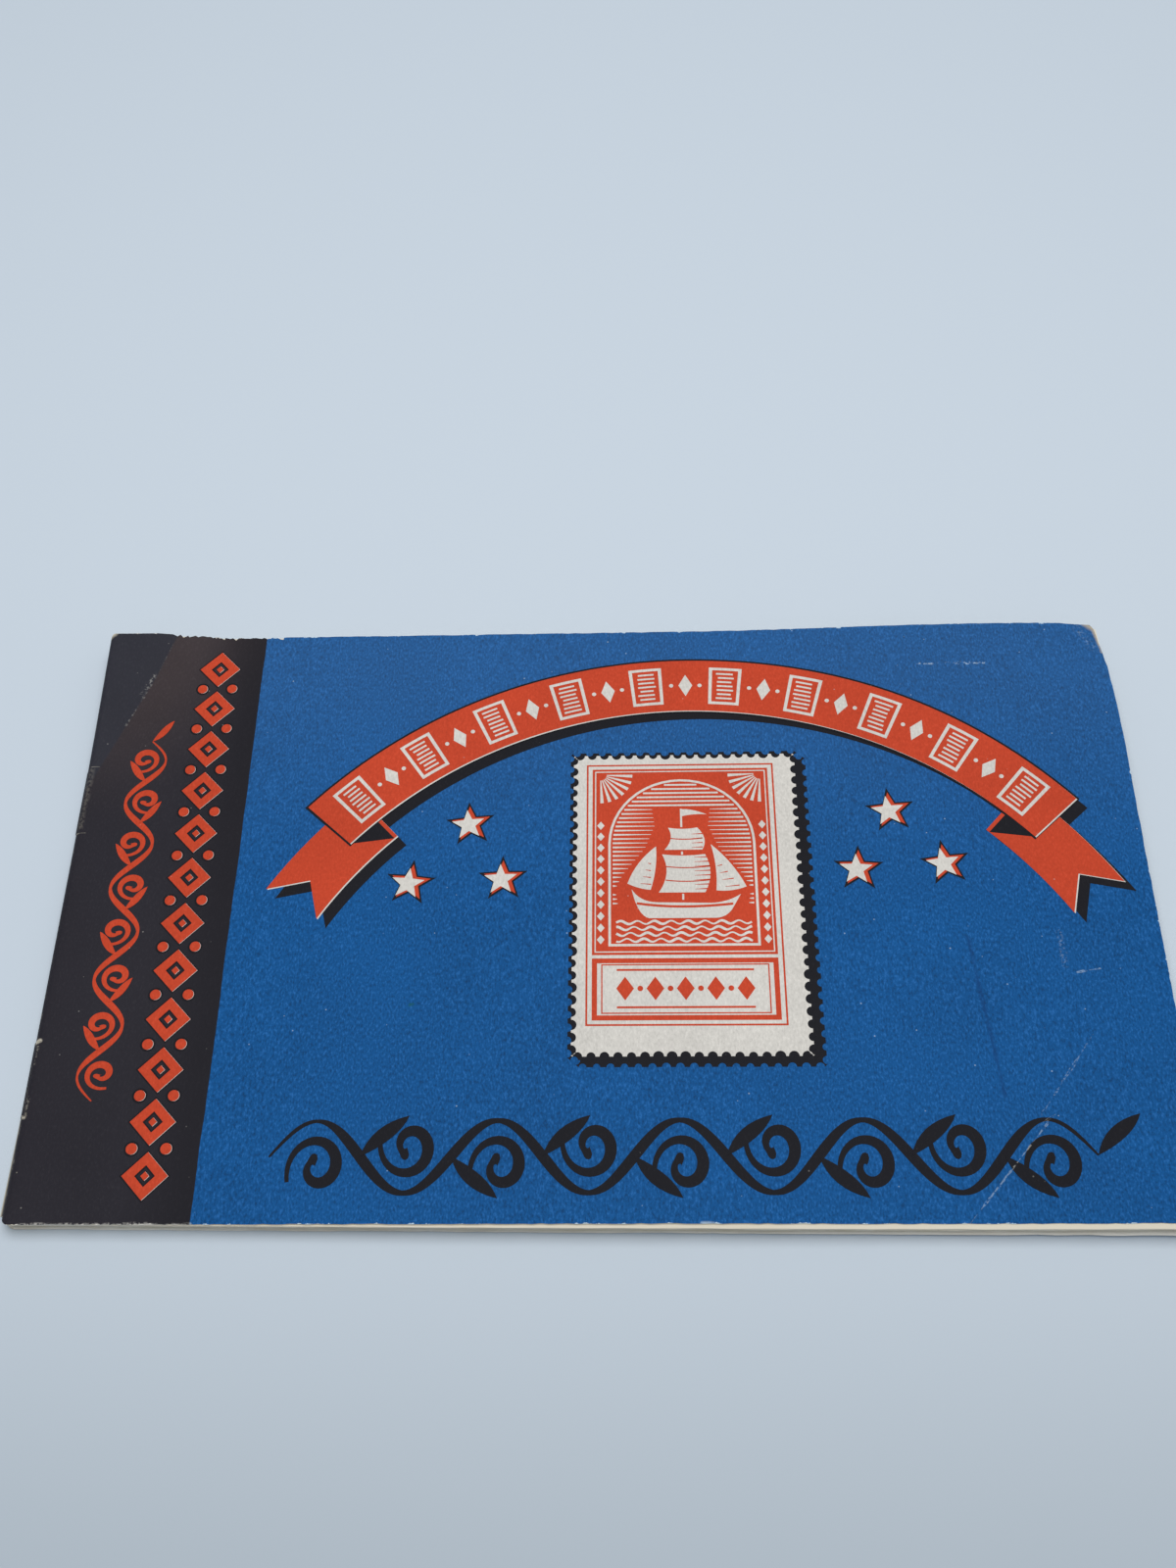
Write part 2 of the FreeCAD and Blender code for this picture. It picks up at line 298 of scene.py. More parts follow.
def build_rim_group():
    tree, given, result = new_group(
        "chipped_rim", [("Place", "vector"), ("Gap", "value"), ("Width", "value")], [("Mask", "value")])
    bites = noise(tree, given["Place"], 0.45, 4.0, 0.7)
    reach = calc(tree, "MULTIPLY", soft_step(tree, bites, 0.5, 0.8), given["Width"])
    chip = calc(tree, "SUBTRACT", reach, given["Gap"])
    tree.links.new(soft_step(tree, chip, -0.05, 0.05), result["Mask"])
    return tree


rubbed_line = build_line_group()
chipped_rim = build_rim_group()
print("wear groups:", rubbed_line.name, "and", chipped_rim.name)

# %% [markdown]
# ## Printed card
# The outside of the cover is blue, with a charcoal band along the spine that runs round on to the back. The
# blue and the charcoal are two inks of the same group, and a step across the cover chooses between them.
# The marks of wear are lists of places, in millimetres, so that one can be added or moved without touching
# a node.

# %% Inks and card colours
CARD_WHITE = colour(216, 212, 205)
CARD_CREAM = colour(214, 206, 188)
CARD_COOL = colour(186, 208, 226)
BLUE = colour(12, 84, 146)
CHARCOAL = colour(43, 41, 48)
RED = colour(200, 70, 42)
BLACK = colour(26, 26, 32)
GLOSS = 0.08
CARD_BUMP = 0.02 * MM
RIM_WIDTH = 0.5
# Strength of the painted sheen that pales the blue towards the far edge.
FAR_SHEEN = 0.03
BAND_EDGE = 0.42
BAND_EDGE_TONE = (0.004, 0.004, 0.006, 1)

# %% Marks between two points: width, brokenness and strength, and a colour for stains and painted shade
EAR_FAR = (-92.3, 64.3)
EAR_SPINE = (-107.7, 24.5)
ear_line = (Vector(EAR_SPINE) - Vector(EAR_FAR)).normalized()
ear_side = Vector((ear_line.y, -ear_line.x))
FRONT_MARKS = [
    ((-96.5, 55.0), (-98.5, 50.0), 0.6, 0.95, 0.35),
    ((-93.0, 62.5), (-101.0, 42.0), 0.2, 0.85, 0.2),
    ((92.5, -28.0), (80.9, -43.2), 0.14, 0.8, 0.36),
    ((81.9, -44.6), (65.4, -63.0), 0.16, 0.6, 0.44),
    ((84.9, -42.2), (78.8, -46.0), 0.12, 0.85, 0.25),
    ((67.9, 54.3), (82.1, 54.1), 0.4, 0.98, 0.8),
    ((91.5, -15.6), (96.0, -14.8), 0.22, 0.5, 0.5),
    ((89.2, -7.2), (89.4, -14.2), 0.8, 0.95, 0.25),
    ((103.0, 63.5), (105.8, 58.0), 1.5, 0.97, 0.2),
    ((18.4, -62.6), (20.6, -62.7), 0.5, 0.2, 0.9),
    ((-104.6, -62.8), (-73.0, -62.8), 0.55, 0.75, 0.8),
]
STAINS_AND_DENT_SHADE = [
    ((-36.0, -21.4), (-35.4, -21.2), 0.55, -1.0, 0.9, colour(20, 84, 70)),
    ((104.9, 64.4), (106.7, 63.5), 1.0, -0.6, 0.95, colour(184, 172, 148)),
    ((106.7, 63.4), (107.5, 57.0), 0.6, 0.1, 0.85, colour(184, 172, 148)),
    # Painted shade: a darker blue line along a faint dent.
    ((71.6, -8.3), (74.8, -39.6), 0.6, -0.2, 0.6, colour(10, 58, 112)),
]
SPINE_MARKS = [
    ((-107.6, -28.4), (-106.5, -28.1), 0.45, 0.3, 0.9),
    ((-107.6, -42.7), (-106.8, -43.0), 0.45, 0.3, 0.85),
    ((-106.7, -29.0), (-106.8, -32.6), 0.45, 0.8, 0.3),
    ((-106.7, -39.4), (-106.6, -42.8), 0.5, 0.75, 0.32),
    ((-107.6, 31.8), (-105.0, 32.0), 0.22, -0.4, 0.45),
    ((-107.6, 16.3), (-105.4, 16.4), 0.22, -0.4, 0.45),
    ((-106.5, 31.2), (-106.7, 17.6), 0.9, 0.7, 0.12),
    ((-107.7, 63.4), (-106.4, 64.3), 1.0, -0.3, 1.0),
]


def wear_of(tree, place, marks):
    """The largest of all the rubbed marks at a place."""
    worn = 0.0
    for start, end, width, broken, strength in marks:
        mark = use_group(tree, rubbed_line, Place=place, Start=(*start, 0), End=(*end, 0), Width=width,
                         Broken=broken)
        worn = calc(tree, "MAXIMUM", worn, calc(tree, "MULTIPLY", mark["Mask"], strength))
    return worn


def rim_gap(tree, place, near_y):
    """The distance in millimetres from a place on the card to its nearest cut edge."""
    part = add_node(tree, "ShaderNodeSeparateXYZ", Vector=place).outputs
    to_fore = calc(tree, "SUBTRACT", COVER_FORE_X / MM, part[0])
    to_near = calc(tree, "SUBTRACT", part[1], near_y / MM)
    to_far = calc(tree, "SUBTRACT", FAR_Y / MM, part[1])
    return calc(tree, "MINIMUM", to_fore, calc(tree, "MINIMUM", to_near, to_far))


def paint_band_sheen(tree, place, ink):
    """Paint light on the charcoal at the bent corner: a cool painted reflection on the bent part, a warm
    painted sheen before the crease.
    """
    from_crease = vector_calc(tree, "SUBTRACT", place, (*EAR_FAR, 0))
    beyond = vector_calc(tree, "DOT_PRODUCT", from_crease, (*ear_side, 0), "Value")
    along = add_node(tree, "ShaderNodeSeparateXYZ", Vector=place).outputs[1]
    # Painted light: a cool painted reflection on the bent part, a warm painted sheen before the crease.
    bent = calc(tree, "MULTIPLY", soft_step(tree, beyond, -0.3, 0.3), 0.05)
    before = calc(tree, "MULTIPLY", soft_step(tree, beyond, 0.3, -0.3), soft_step(tree, beyond, -26.0, -1.0))
    painted_sheen = calc(tree, "MULTIPLY", before, calc(tree, "MULTIPLY", soft_step(tree, along, 14.0, 55.0), 0.155))
    ink = mix_colour(tree, bent, ink, colour(110, 122, 142))
    return mix_colour(tree, painted_sheen, ink, colour(122, 100, 92))


def make_cover_print(name, marks, stains, rim_width):
    """Blue card and charcoal band, with chips, the listed marks and stains, painted sheen and painted dent
    shade.
    """
    material, tree, shader = new_material(name, GLOSS)
    place = place_in_mm(tree)
    chips = use_group(tree, chipped_rim, Place=place, Gap=rim_gap(tree, place, NEAR_Y), Width=rim_width)
    bare = calc(tree, "MAXIMUM", wear_of(tree, place, marks), chips["Mask"], clamp=True)
    blue = use_group(tree, ink_on_card, Ink=BLUE, Card=CARD_COOL, Mottle=0.9, Specks=0.5, Bare=bare)
    across, along, _ = add_node(tree, "ShaderNodeSeparateXYZ", Vector=place).outputs
    # Painted sheen: the blue is mixed a little towards pale card towards the far edge.
    far_sheen = calc(tree, "MULTIPLY", soft_step(tree, along, -5.0, 62.0), FAR_SHEEN)
    sheen_stain_and_shade = mix_colour(tree, far_sheen, blue["Color"], CARD_COOL)
    # Real stains and the painted shade along the dent, each mixed in along its line.
    for *mark, tint in stains:
        sheen_stain_and_shade = mix_colour(tree, wear_of(tree, place, [mark]), sheen_stain_and_shade, tint)
    # The charcoal carries painted sheen and a painted reflection at the bent corner.
    charcoal = paint_band_sheen(tree, place, CHARCOAL)
    band = use_group(tree, ink_on_card, Ink=charcoal, Card=CARD_WHITE, Mottle=0.2, Specks=0.25, Bare=bare)
    wobble = calc(tree, "MULTIPLY", calc(tree, "SUBTRACT", noise(tree, place, 0.12), 0.5), 0.5)
    past_band = calc(tree, "SUBTRACT", calc(tree, "ADD", across, wobble), BAND_X / MM)
    on_blue = soft_step(tree, past_band, -0.06, 0.06)
    base = mix_colour(tree, on_blue, band["Color"], sheen_stain_and_shade)
    edge = calc(tree, "MULTIPLY", soft_step(tree, past_band, -16.0, -0.5),
                calc(tree, "SUBTRACT", 1.0, on_blue))
    base = mix_colour(tree, calc(tree, "MULTIPLY", edge, BAND_EDGE), base, BAND_EDGE_TONE)
    finish_surface(tree, shader, base, blue["Roughness"], blue["Height"], CARD_BUMP)
    return material


cover_print = make_cover_print("front_cover_print", FRONT_MARKS, STAINS_AND_DENT_SHADE, RIM_WIDTH)
back_print = make_cover_print("back_cover_print", [], [], RIM_WIDTH)
print("cover print made, with", len(FRONT_MARKS), "marks")

# %% [markdown]
# The spine carries only the charcoal band, rubbed pale along its fold and torn a little where the wire goes
# in. Inside, the card is bare and has yellowed, and its cut edge shows the same card in fine layers.

# %% Spine print, inside of the card and cut edge
def make_spine_print():
    material, tree, shader = new_material("spine_print", GLOSS)
    place = place_in_mm(tree)
    across, along, height = add_node(tree, "ShaderNodeSeparateXYZ", Vector=place).outputs
    fold_side = soft_step(tree, calc(tree, "SUBTRACT", across, SPINE_X / MM), 0.9, 0.2)
    pressed = calc(tree, "MULTIPLY", soft_step(tree, height, 1.6, 1.2), soft_step(tree, along, 0.0, -40.0))
    rub = calc(tree, "MULTIPLY", fold_side, soft_step(tree, noise(tree, place, 0.5, 4.0, 0.7), 0.5, 0.75))
    ends = use_group(tree, chipped_rim, Place=place, Gap=rim_gap(tree, place, NEAR_Y), Width=RIM_WIDTH)
    bare = calc(tree, "MAXIMUM", calc(tree, "MULTIPLY", rub, 0.35), ends["Mask"])
    bare = calc(tree, "MAXIMUM", bare, pressed)
    bare = calc(tree, "MAXIMUM", bare, wear_of(tree, place, SPINE_MARKS), clamp=True)
    # The spine's charcoal carries the same painted sheen and painted reflection at the bent corner.
    charcoal = paint_band_sheen(tree, place, CHARCOAL)
    band = use_group(tree, ink_on_card, Ink=charcoal, Card=CARD_CREAM, Mottle=0.2, Specks=0.25, Bare=bare)
    finish_surface(tree, shader, band["Color"], band["Roughness"], band["Height"], CARD_BUMP)
    return material


def make_bare_card(name, base, stain, layered):
    """Unprinted card: faint stains on a face, fine level lines on a cut edge."""
    material, tree, shader = new_material(name, 0.25)
    place = place_in_mm(tree)
    spots = soft_step(tree, noise(tree, place, 0.05, 5.0, 0.6), 0.42, 0.75)
    squeezed = add_node(tree, "ShaderNodeMapping", Vector=place, Scale=(0.3, 0.3, layered)).outputs[0]
    fibres = noise(tree, squeezed, 2.0)
    base = mix_colour(tree, calc(tree, "MULTIPLY", spots, 0.6), base, stain)
    base = mix_colour(tree, 0.35, base, add_node(tree, "ShaderNodeCombineXYZ", X=fibres, Y=fibres,
                                                 Z=fibres).outputs[0], "SOFT_LIGHT")
    roughness = calc(tree, "MULTIPLY_ADD", fibres, 0.2, 0.7)
    finish_surface(tree, shader, base, roughness, fibres, CARD_BUMP)
    return material


spine_print = make_spine_print()
card_inside = make_bare_card("card_inside", colour(224, 216, 198), colour(208, 192, 162), 0.3)
# Painted light: a paler copy of the inside card for the back cover, so its strip under the leaves reads lit.
back_inside_painted_light = make_bare_card("back_inside_painted_light", colour(248, 246, 240), colour(232, 224, 208), 0.3)
card_edge = make_bare_card("card_edge", colour(222, 217, 206), colour(196, 187, 170), 8.0)
print("card finishes:", spine_print.name, card_inside.name, back_inside_painted_light.name, card_edge.name)

# %% [markdown]
# ## Leaf paper
# The leaves are thin, yellowed paper, browner towards their edges. A stamp album's pages are ruled with
# empty frames to stick stamps in, so the paper has three frames in a row, a line or two under each for a
# title, and a border. A ruled box is the set of points whose distance to a rectangle is nearly nothing. The
# leaves bend at the fold, so their print follows the sheet's own UV map, not its place in the room.

# %% Paper ruled with empty stamp frames
PAGE_WIDTH = (FORE_X - FOLD_X) / MM
PAGE_DEPTH = (FAR_Y - NEAR_Y) / MM
FRAME_PITCH = 64.0
PAGE_INK = colour(92, 74, 62)
PAPER_BUMP = 0.01 * MM


def build_box_group():
    tree, given, result = new_group(
        "ruled_box",
        [("X", "value"), ("Y", "value"), ("Half Width", "value"), ("Half Depth", "value"), ("Line", "value")],
        [("Mask", "value")])
    side = calc(tree, "SUBTRACT", calc(tree, "ABSOLUTE", given["X"]), given["Half Width"])
    end = calc(tree, "SUBTRACT", calc(tree, "ABSOLUTE", given["Y"]), given["Half Depth"])
    gap = calc(tree, "ABSOLUTE", calc(tree, "MAXIMUM", side, end))
    mask = soft_step(tree, calc(tree, "SUBTRACT", given["Line"], gap), -0.05, 0.05)
    tree.links.new(mask, result["Mask"])
    return tree


def make_leaf_paper():
    material, tree, shader = new_material("leaf_paper", 0.2)
    chart = add_node(tree, "ShaderNodeUVMap").outputs[0]
    place = vector_calc(tree, "MULTIPLY", chart, (PAGE_WIDTH, PAGE_DEPTH, 0))
    centred = vector_calc(tree, "SUBTRACT", place, (PAGE_WIDTH / 2 + 2, PAGE_DEPTH / 2, 0))
    x, y, _ = add_node(tree, "ShaderNodeSeparateXYZ", Vector=centred).outputs
    number = calc(tree, "ROUND", calc(tree, "DIVIDE", x, FRAME_PITCH))
    number = calc(tree, "MAXIMUM", -1.0, calc(tree, "MINIMUM", 1.0, number))
    column = calc(tree, "SUBTRACT", x, calc(tree, "MULTIPLY", number, FRAME_PITCH))
    frame_y = calc(tree, "SUBTRACT", y, 9)
    boxes = [(x, y, 99.0, 56.0, 0.22), (x, y, 97.6, 54.6, 0.1),
             (column, frame_y, 23, 30, 0.16), (column, frame_y, 21.5, 28.5, 0.08),
             (column, calc(tree, "ADD", y, 30), 21, 0.05, 0.12),
             (column, calc(tree, "ADD", y, 37), 16, 0.05, 0.12)]
    ruled = 0.0
    for box_x, box_y, half_width, half_depth, line in boxes:
        box = use_group(tree, ruled_box, X=box_x, Y=box_y, Half_Width=half_width, Half_Depth=half_depth,
                        Line=line)
        ruled = calc(tree, "MAXIMUM", ruled, box["Mask"])
    from_fold = add_node(tree, "ShaderNodeSeparateXYZ", Vector=place).outputs[0]
    on_sheet = calc(tree, "GREATER_THAN", from_fold, 4.0)
    ruled = calc(tree, "MULTIPLY", ruled, calc(tree, "MULTIPLY", on_sheet, 0.75))
    fibres = noise(tree, place, 2.2, 4.0)
    to_edge = calc(tree, "SUBTRACT", PAGE_DEPTH / 2, calc(tree, "ABSOLUTE", y))
    to_edge = calc(tree, "MINIMUM", to_edge, calc(tree, "SUBTRACT", PAGE_WIDTH / 2 - 2, x))
    uneven = calc(tree, "MULTIPLY", noise(tree, place, 0.08), 22)
    brown = soft_step(tree, calc(tree, "ADD", to_edge, uneven), 26, 6)
    base = mix_colour(tree, calc(tree, "MULTIPLY", brown, 0.45), colour(232, 227, 213), colour(218, 207, 184))
    base = mix_colour(tree, calc(tree, "MULTIPLY", fibres, 0.18), base, colour(200, 186, 158))
    base = mix_colour(tree, ruled, base, PAGE_INK)
    finish_surface(tree, shader, base, calc(tree, "MULTIPLY_ADD", fibres, 0.2, 0.68), fibres, PAPER_BUMP)
    return material


ruled_box = build_box_group()
leaf_paper = make_leaf_paper()
leaf_edge = make_bare_card("leaf_edge", colour(232, 229, 221), colour(216, 209, 194), 14.0)
print("leaf paper ruled on pages of", round(PAGE_WIDTH), "by", round(PAGE_DEPTH), "mm")

# %% [markdown]
# ## How the cover curls
# Old card doesn't lie flat. The far corner at the spine is bent up along a diagonal crease, and the far
# edge swells a little on the right, while the near edge dips and the sheets under it curl up to meet it. By
# hand these are grabs with proportional editing. Written as one function of the place on the cover, the
# same swell goes into the card, the spine and, fading downwards, every leaf, so none of them cross.

# %% The rise of the cover above its flat place
SWELLS = [
    ((82.0, 66.0), 62.0, 1.5),
    ((108.0, 64.0), 11.0, -0.9),
    ((20.0, -64.0), 40.0, 0.25),
    ((75.0, -68.0), 110.0, -0.8),
    ((-94.0, 67.0), 15.0, 1.9),
]
EAR_SLOPE = 0.18


def cover_rise(x, y):
    """How far the cover stands above its flat place, in metres."""
    place = Vector((x / MM, y / MM))
    rise = EAR_SLOPE * max(0.0, ear_side.dot(place - Vector(EAR_FAR)))
    for centre, radius, height in SWELLS:
        fade = max(0.0, 1 - (place - Vector(centre)).length / radius)
        rise += height * fade * fade * (3 - 2 * fade)
    return rise * MM


print("the far spine corner rises", round(cover_rise(SPINE_X, FAR_Y) / MM, 2), "mm")

# %% [markdown]
# ## Modelling helpers
# A sheet starts as a grid at its size and place. Bisecting cuts its corners round and scores it along a
# crease, and a little seeded shake along its border makes a handled edge. Solidify then gives the sheet its
# thickness, with other materials for its back and its cut edge.

# %% Helpers that make and finish a sheet
FOLD_END_RADIUS = 2.0 * MM
FOLD_END_REACH = 5.0 * MM
NEAR_CURL = 0.85 * MM
NEAR_CURL_REACH = 32 * MM
WORN_CORNER = [(106.1, 64.3), (106.8, 63.3), (107.6, 56.4), (108.4, 47.5), (108.8, 33.0)]
LOWER_CORNER = [(106.7, 64.6), (107.4, 63.7), (108.2, 48.2), (108.3, 35.0)]


def even_sheet(name, low_x, high_x, low_z, high_z, cell):
    """A sheet of square cells from the near edge to the far edge, tilted from low_z up to high_z."""
    width = high_x - low_x
    depth = FAR_Y - NEAR_Y
    tilt = math.atan2(high_z - low_z, width)
    middle = ((low_x + high_x) / 2, (NEAR_Y + FAR_Y) / 2, (low_z + high_z) / 2)
    bpy.ops.object.select_all(action="DESELECT")
    bpy.ops.mesh.primitive_grid_add(x_subdivisions=max(1, round(width / cell)),
                                    y_subdivisions=round(depth / cell), size=1,
                                    location=middle, rotation=(0, -tilt, 0))
    sheet = bpy.context.object
    sheet.name = name
    sheet.scale = (width / math.cos(tilt), depth, 1)
    bpy.ops.object.transform_apply(location=True, rotation=True, scale=True)
    return sheet


def cut_sheet(sheet, point, normal, keep_both=False):
    """Bisect the sheet with an upright plane, and drop what is beyond it unless both sides are kept."""
    bpy.ops.object.mode_set(mode="EDIT")
    bpy.ops.mesh.select_all(action="SELECT")
    bpy.ops.mesh.bisect(plane_co=(*point, 0), plane_no=(*normal, 0), clear_outer=not keep_both)
    bpy.ops.object.mode_set(mode="OBJECT")


def round_corner(sheet, x, y, radius, steps=7):
    """Cut a corner round with a fan of straight cuts along the tangents of its arc."""
    side_x = math.copysign(1, x)
    side_y = math.copysign(1, y)
    for step in range(steps):
        turn = math.radians(90) * (step + 0.5) / steps
        normal = (side_x * math.cos(turn), side_y * math.sin(turn))
        point = (x - side_x * radius + normal[0] * radius, y - side_y * radius + normal[1] * radius)
        cut_sheet(sheet, point, normal)


def fray_border(sheet, depth, seed, keep_x):
    """Push border vertices inwards by a random share of the depth at their place, except beside the fold."""
    draw = random.Random(seed)
    shell = bmesh.new()
    shell.from_mesh(sheet.data)
    for point in shell.verts:
        if point.is_boundary and point.co.x > keep_x:
            inside = [edge.other_vert(point).co for edge in point.link_edges if not edge.is_boundary]
            if inside:
                point.co += (inside[0] - point.co).normalized() * depth(point.co) * draw.random() ** 2
    shell.to_mesh(sheet.data)
    shell.free()


def wear_fold_ends(sheet):
    """Round both ends of a fold, as seen from above, by drawing in the last few millimetres of it."""
    for point in sheet.data.vertices:
        inset = min(FOLD_END_RADIUS, max(0.0, FOLD_END_RADIUS - (point.co.x - SPINE_X)))
        worn = FOLD_END_RADIUS - math.sqrt(FOLD_END_RADIUS ** 2 - inset ** 2)
        for end_y in (NEAR_Y, FAR_Y):
            share = max(0.0, 1 - abs(point.co.y - end_y) / FOLD_END_REACH)
            point.co.y -= math.copysign(worn * share, end_y)


def trim_corner(sheet, outline):
    """Cut the far corner at the fore-edge along its worn outline, given in millimetres."""
    for (start_x, start_y), (end_x, end_y) in zip(outline, outline[1:]):
        normal = Vector((start_y - end_y, end_x - start_x)).normalized()
        cut_sheet(sheet, Vector((start_x, start_y)) * MM, normal)


def raise_sheet(sheet, share):
    """Lift each vertex by its share of the cover's rise, where share is a function of the vertex's place."""
    for point in sheet.data.vertices:
        point.co.z += share(point.co) * cover_rise(point.co.x, point.co.y)


def curl_near_edge(sheet, share):
    """Curl a sheet up from the table along its near edge, most at the fore-edge."""
    for point in sheet.data.vertices:
        along = min(1.0, max(0.0, (point.co.x - FOLD_X) / (FORE_X - FOLD_X)))
        ahead = max(0.0, 1 - (point.co.y - NEAR_Y) / NEAR_CURL_REACH)
        point.co.z += share * NEAR_CURL * (along * ahead) ** 2


def thicken(sheet, thickness, offset):
    """Give a sheet its thickness, with its second material on the back and its third on the cut edge."""
    solid = sheet.modifiers.new("thickness", "SOLIDIFY")
    solid.thickness = thickness
    solid.offset = offset
    solid.material_offset = 1
    solid.material_offset_rim = 2
    bpy.ops.object.modifier_apply(modifier=solid.name)


def dress(piece, *materials):
    """Give a piece its materials in order."""
    piece.data.materials.clear()
    for material in materials:
        piece.data.materials.append(material)


def select_where(sheet, test):
    """Select the vertices that pass a test and the edges between them, then go into edit mode."""
    mesh = sheet.data
    for face in mesh.polygons:
        face.select = False
    for point in mesh.vertices:
        point.select = test(point.co)
    for edge in mesh.edges:
        edge.select = all(mesh.vertices[end].select for end in edge.vertices)
    bpy.ops.object.mode_set(mode="EDIT")


def skew_corner(sheet, amount, falloff):
    """Drag the near corner at the fore-edge towards the reader, fading along the sheet."""
    select_where(sheet, lambda place: place.x > FORE_X - 1 * MM and place.y < NEAR_Y + 1 * MM)
    bpy.ops.transform.translate(value=(0, -amount, 0), use_proportional_edit=True,
                                proportional_edit_falloff=falloff, proportional_size=FORE_X - SPINE_X)
    bpy.ops.object.mode_set(mode="OBJECT")


print("sheet helpers ready")

# %% [markdown]
# ## Front cover
# The panel that opens. Its print is on the upper face, so the grid is that face and the thickness goes
# down. The far corner at the fore-edge is worn away, and the score along the bent corner keeps that crease
# sharp. The panel overhangs the leaves a little at the fore-edge, and its grid is cut finer over a few
# millimetres beside the spine.

# %% Model the front cover
FRONT_CELL = 1.6 * MM
RAGGED_FROM = -93 * MM
RAGGED_TO = -68 * MM
RAGGED_COLUMNS = 40
BEND_WIDTH = 5 * MM
BEND_COLUMNS = 8
FRONT_CORNER = 2.0 * MM
FRONT_FRAY = 0.14 * MM
RAGGED_FRAY = 0.75 * MM
FRONT_SEED = 5
BESIDE_FOLD = CREASE_X + 0.2 * MM


def front_fray(place):
    """How deep the border is frayed: most on the far edge, where the band ends."""
    ragged = place.y > 0 and RAGGED_FROM < place.x < RAGGED_TO
    return RAGGED_FRAY if ragged else FRONT_FRAY


front = even_sheet("front_cover_card", CREASE_X, COVER_FORE_X, CARD_TOP, FORE_TOP, FRONT_CELL)
cut_sheet(front, (EAR_FAR[0] * MM, EAR_FAR[1] * MM), ear_side, keep_both=True)
fine_strips = [(CREASE_X, BEND_WIDTH, BEND_COLUMNS), (RAGGED_FROM, RAGGED_TO - RAGGED_FROM, RAGGED_COLUMNS)]
for low_x, width, columns in fine_strips:
    for column in range(1, columns + 1):
        cut_sheet(front, (low_x + width * column / columns, 0), (1, 0), keep_both=True)
trim_corner(front, WORN_CORNER)
round_corner(front, COVER_FORE_X, NEAR_Y, FRONT_CORNER)
fray_border(front, front_fray, FRONT_SEED, BESIDE_FOLD)
raise_sheet(front, lambda place: 1)
dress(front, cover_print, card_inside, card_edge)
thicken(front, CARD, -1)
bpy.ops.object.shade_smooth_by_angle(angle=math.radians(30))
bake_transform(front)
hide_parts("front_cover")
print("front cover:", len(front.data.polygons), "faces")

# %% [markdown]
# ## Spine
# The fold of the cover sheet. The upper strip is a grid one cell wide, and spinning its edge half a turn
# about the fold axis makes the round back. It meets the back cover below and the first leaf above.

# %% Model the spine
SPINE_STEPS = 14
FOLD_PRESS = 1.05 * MM
PRESS_LENGTH = 60 * MM


def spin_fold(sheet, steps):
    """Spin the edge that lies over the fold axis half a turn round it, down the spine side."""
    select_where(sheet, lambda place: abs(place.x - FOLD_X) < 0.01 * MM)
    bpy.ops.mesh.spin(steps=steps, angle=math.pi, center=(FOLD_X, 0, FOLD_Z), axis=(0, 1, 0))
    bpy.ops.object.mode_set(mode="OBJECT")
    merge_doubles(sheet)


def merge_doubles(sheet):
    """Merge vertices that lie on one another."""
    bpy.ops.object.mode_set(mode="EDIT")
    bpy.ops.mesh.select_all(action="SELECT")
    bpy.ops.mesh.remove_doubles(threshold=0.001 * MM)
    bpy.ops.object.mode_set(mode="OBJECT")


def blend_fold(sheet):
    """Bake the sheet's place into its mesh. No blend between bodies is set up."""
    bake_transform(sheet)


def press_fold(sheet):
    """Push the lower half of the fold outwards at the near end, as on a handled album."""
    for point in sheet.data.vertices:
        depth = (FOLD_Z - point.co.z) / (FOLD_Z - BASE_Z)
        if depth > 0 and point.co.x < FOLD_X:
            share = min(1.0, max(0.0, -point.co.y / PRESS_LENGTH))
            point.co.x -= FOLD_PRESS * share * math.sin(math.pi * min(1.0, depth))


spine = even_sheet("spine_card", FOLD_X, CREASE_X, CARD_TOP, CARD_TOP, FRONT_CELL)
spin_fold(spine, SPINE_STEPS)
press_fold(spine)
wear_fold_ends(spine)
raise_sheet(spine, lambda place: max(0.0, (place.z - FOLD_Z) / (CARD_TOP - FOLD_Z)))
dress(spine, spine_print, card_inside, card_edge)
thicken(spine, CARD, -1)
bpy.ops.object.shade_smooth_by_angle(angle=math.radians(40))
blend_fold(spine)
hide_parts("cover_spine")
print("spine:", len(spine.data.polygons), "faces")

# %% [markdown]
# ## Back cover
# The panel that the album lies on. Its print faces down, so the grid is turned over before it gets its
# thickness. It was folded a little askew: its near edge comes out from under the front cover towards the
# fore-edge and curls up there, so its inner face shows as a thin line. That face is painted paler than the
# card inside the front cover, as painted light, so the strip reads lit though the leaves shade it.

# %% Model the back cover
BACK_CELL = 3 * MM
BACK_CORNER = 1.6 * MM
BACK_FRAY = 0.15 * MM
BACK_SEED = 13
BACK_SKEW = NEAR_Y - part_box("back_cover")[0][1]

back = even_sheet("back_cover_card", FOLD_X, FORE_X, BASE_Z, BASE_Z, BACK_CELL)
skew_corner(back, BACK_SKEW, "LINEAR")
trim_corner(back, LOWER_CORNER)
round_corner(back, FORE_X, NEAR_Y - BACK_SKEW, BACK_CORNER)
fray_border(back, lambda place: BACK_FRAY, BACK_SEED, BESIDE_FOLD)
curl_near_edge(back, 1)
bpy.ops.object.mode_set(mode="EDIT")
bpy.ops.mesh.select_all(action="SELECT")
bpy.ops.mesh.flip_normals()
bpy.ops.object.mode_set(mode="OBJECT")
dress(back, back_print, back_inside_painted_light, card_edge)
thicken(back, CARD, -1)
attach(back, "back_cover")
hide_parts("back_cover")
print("back cover:", len(back.data.polygons), "faces")

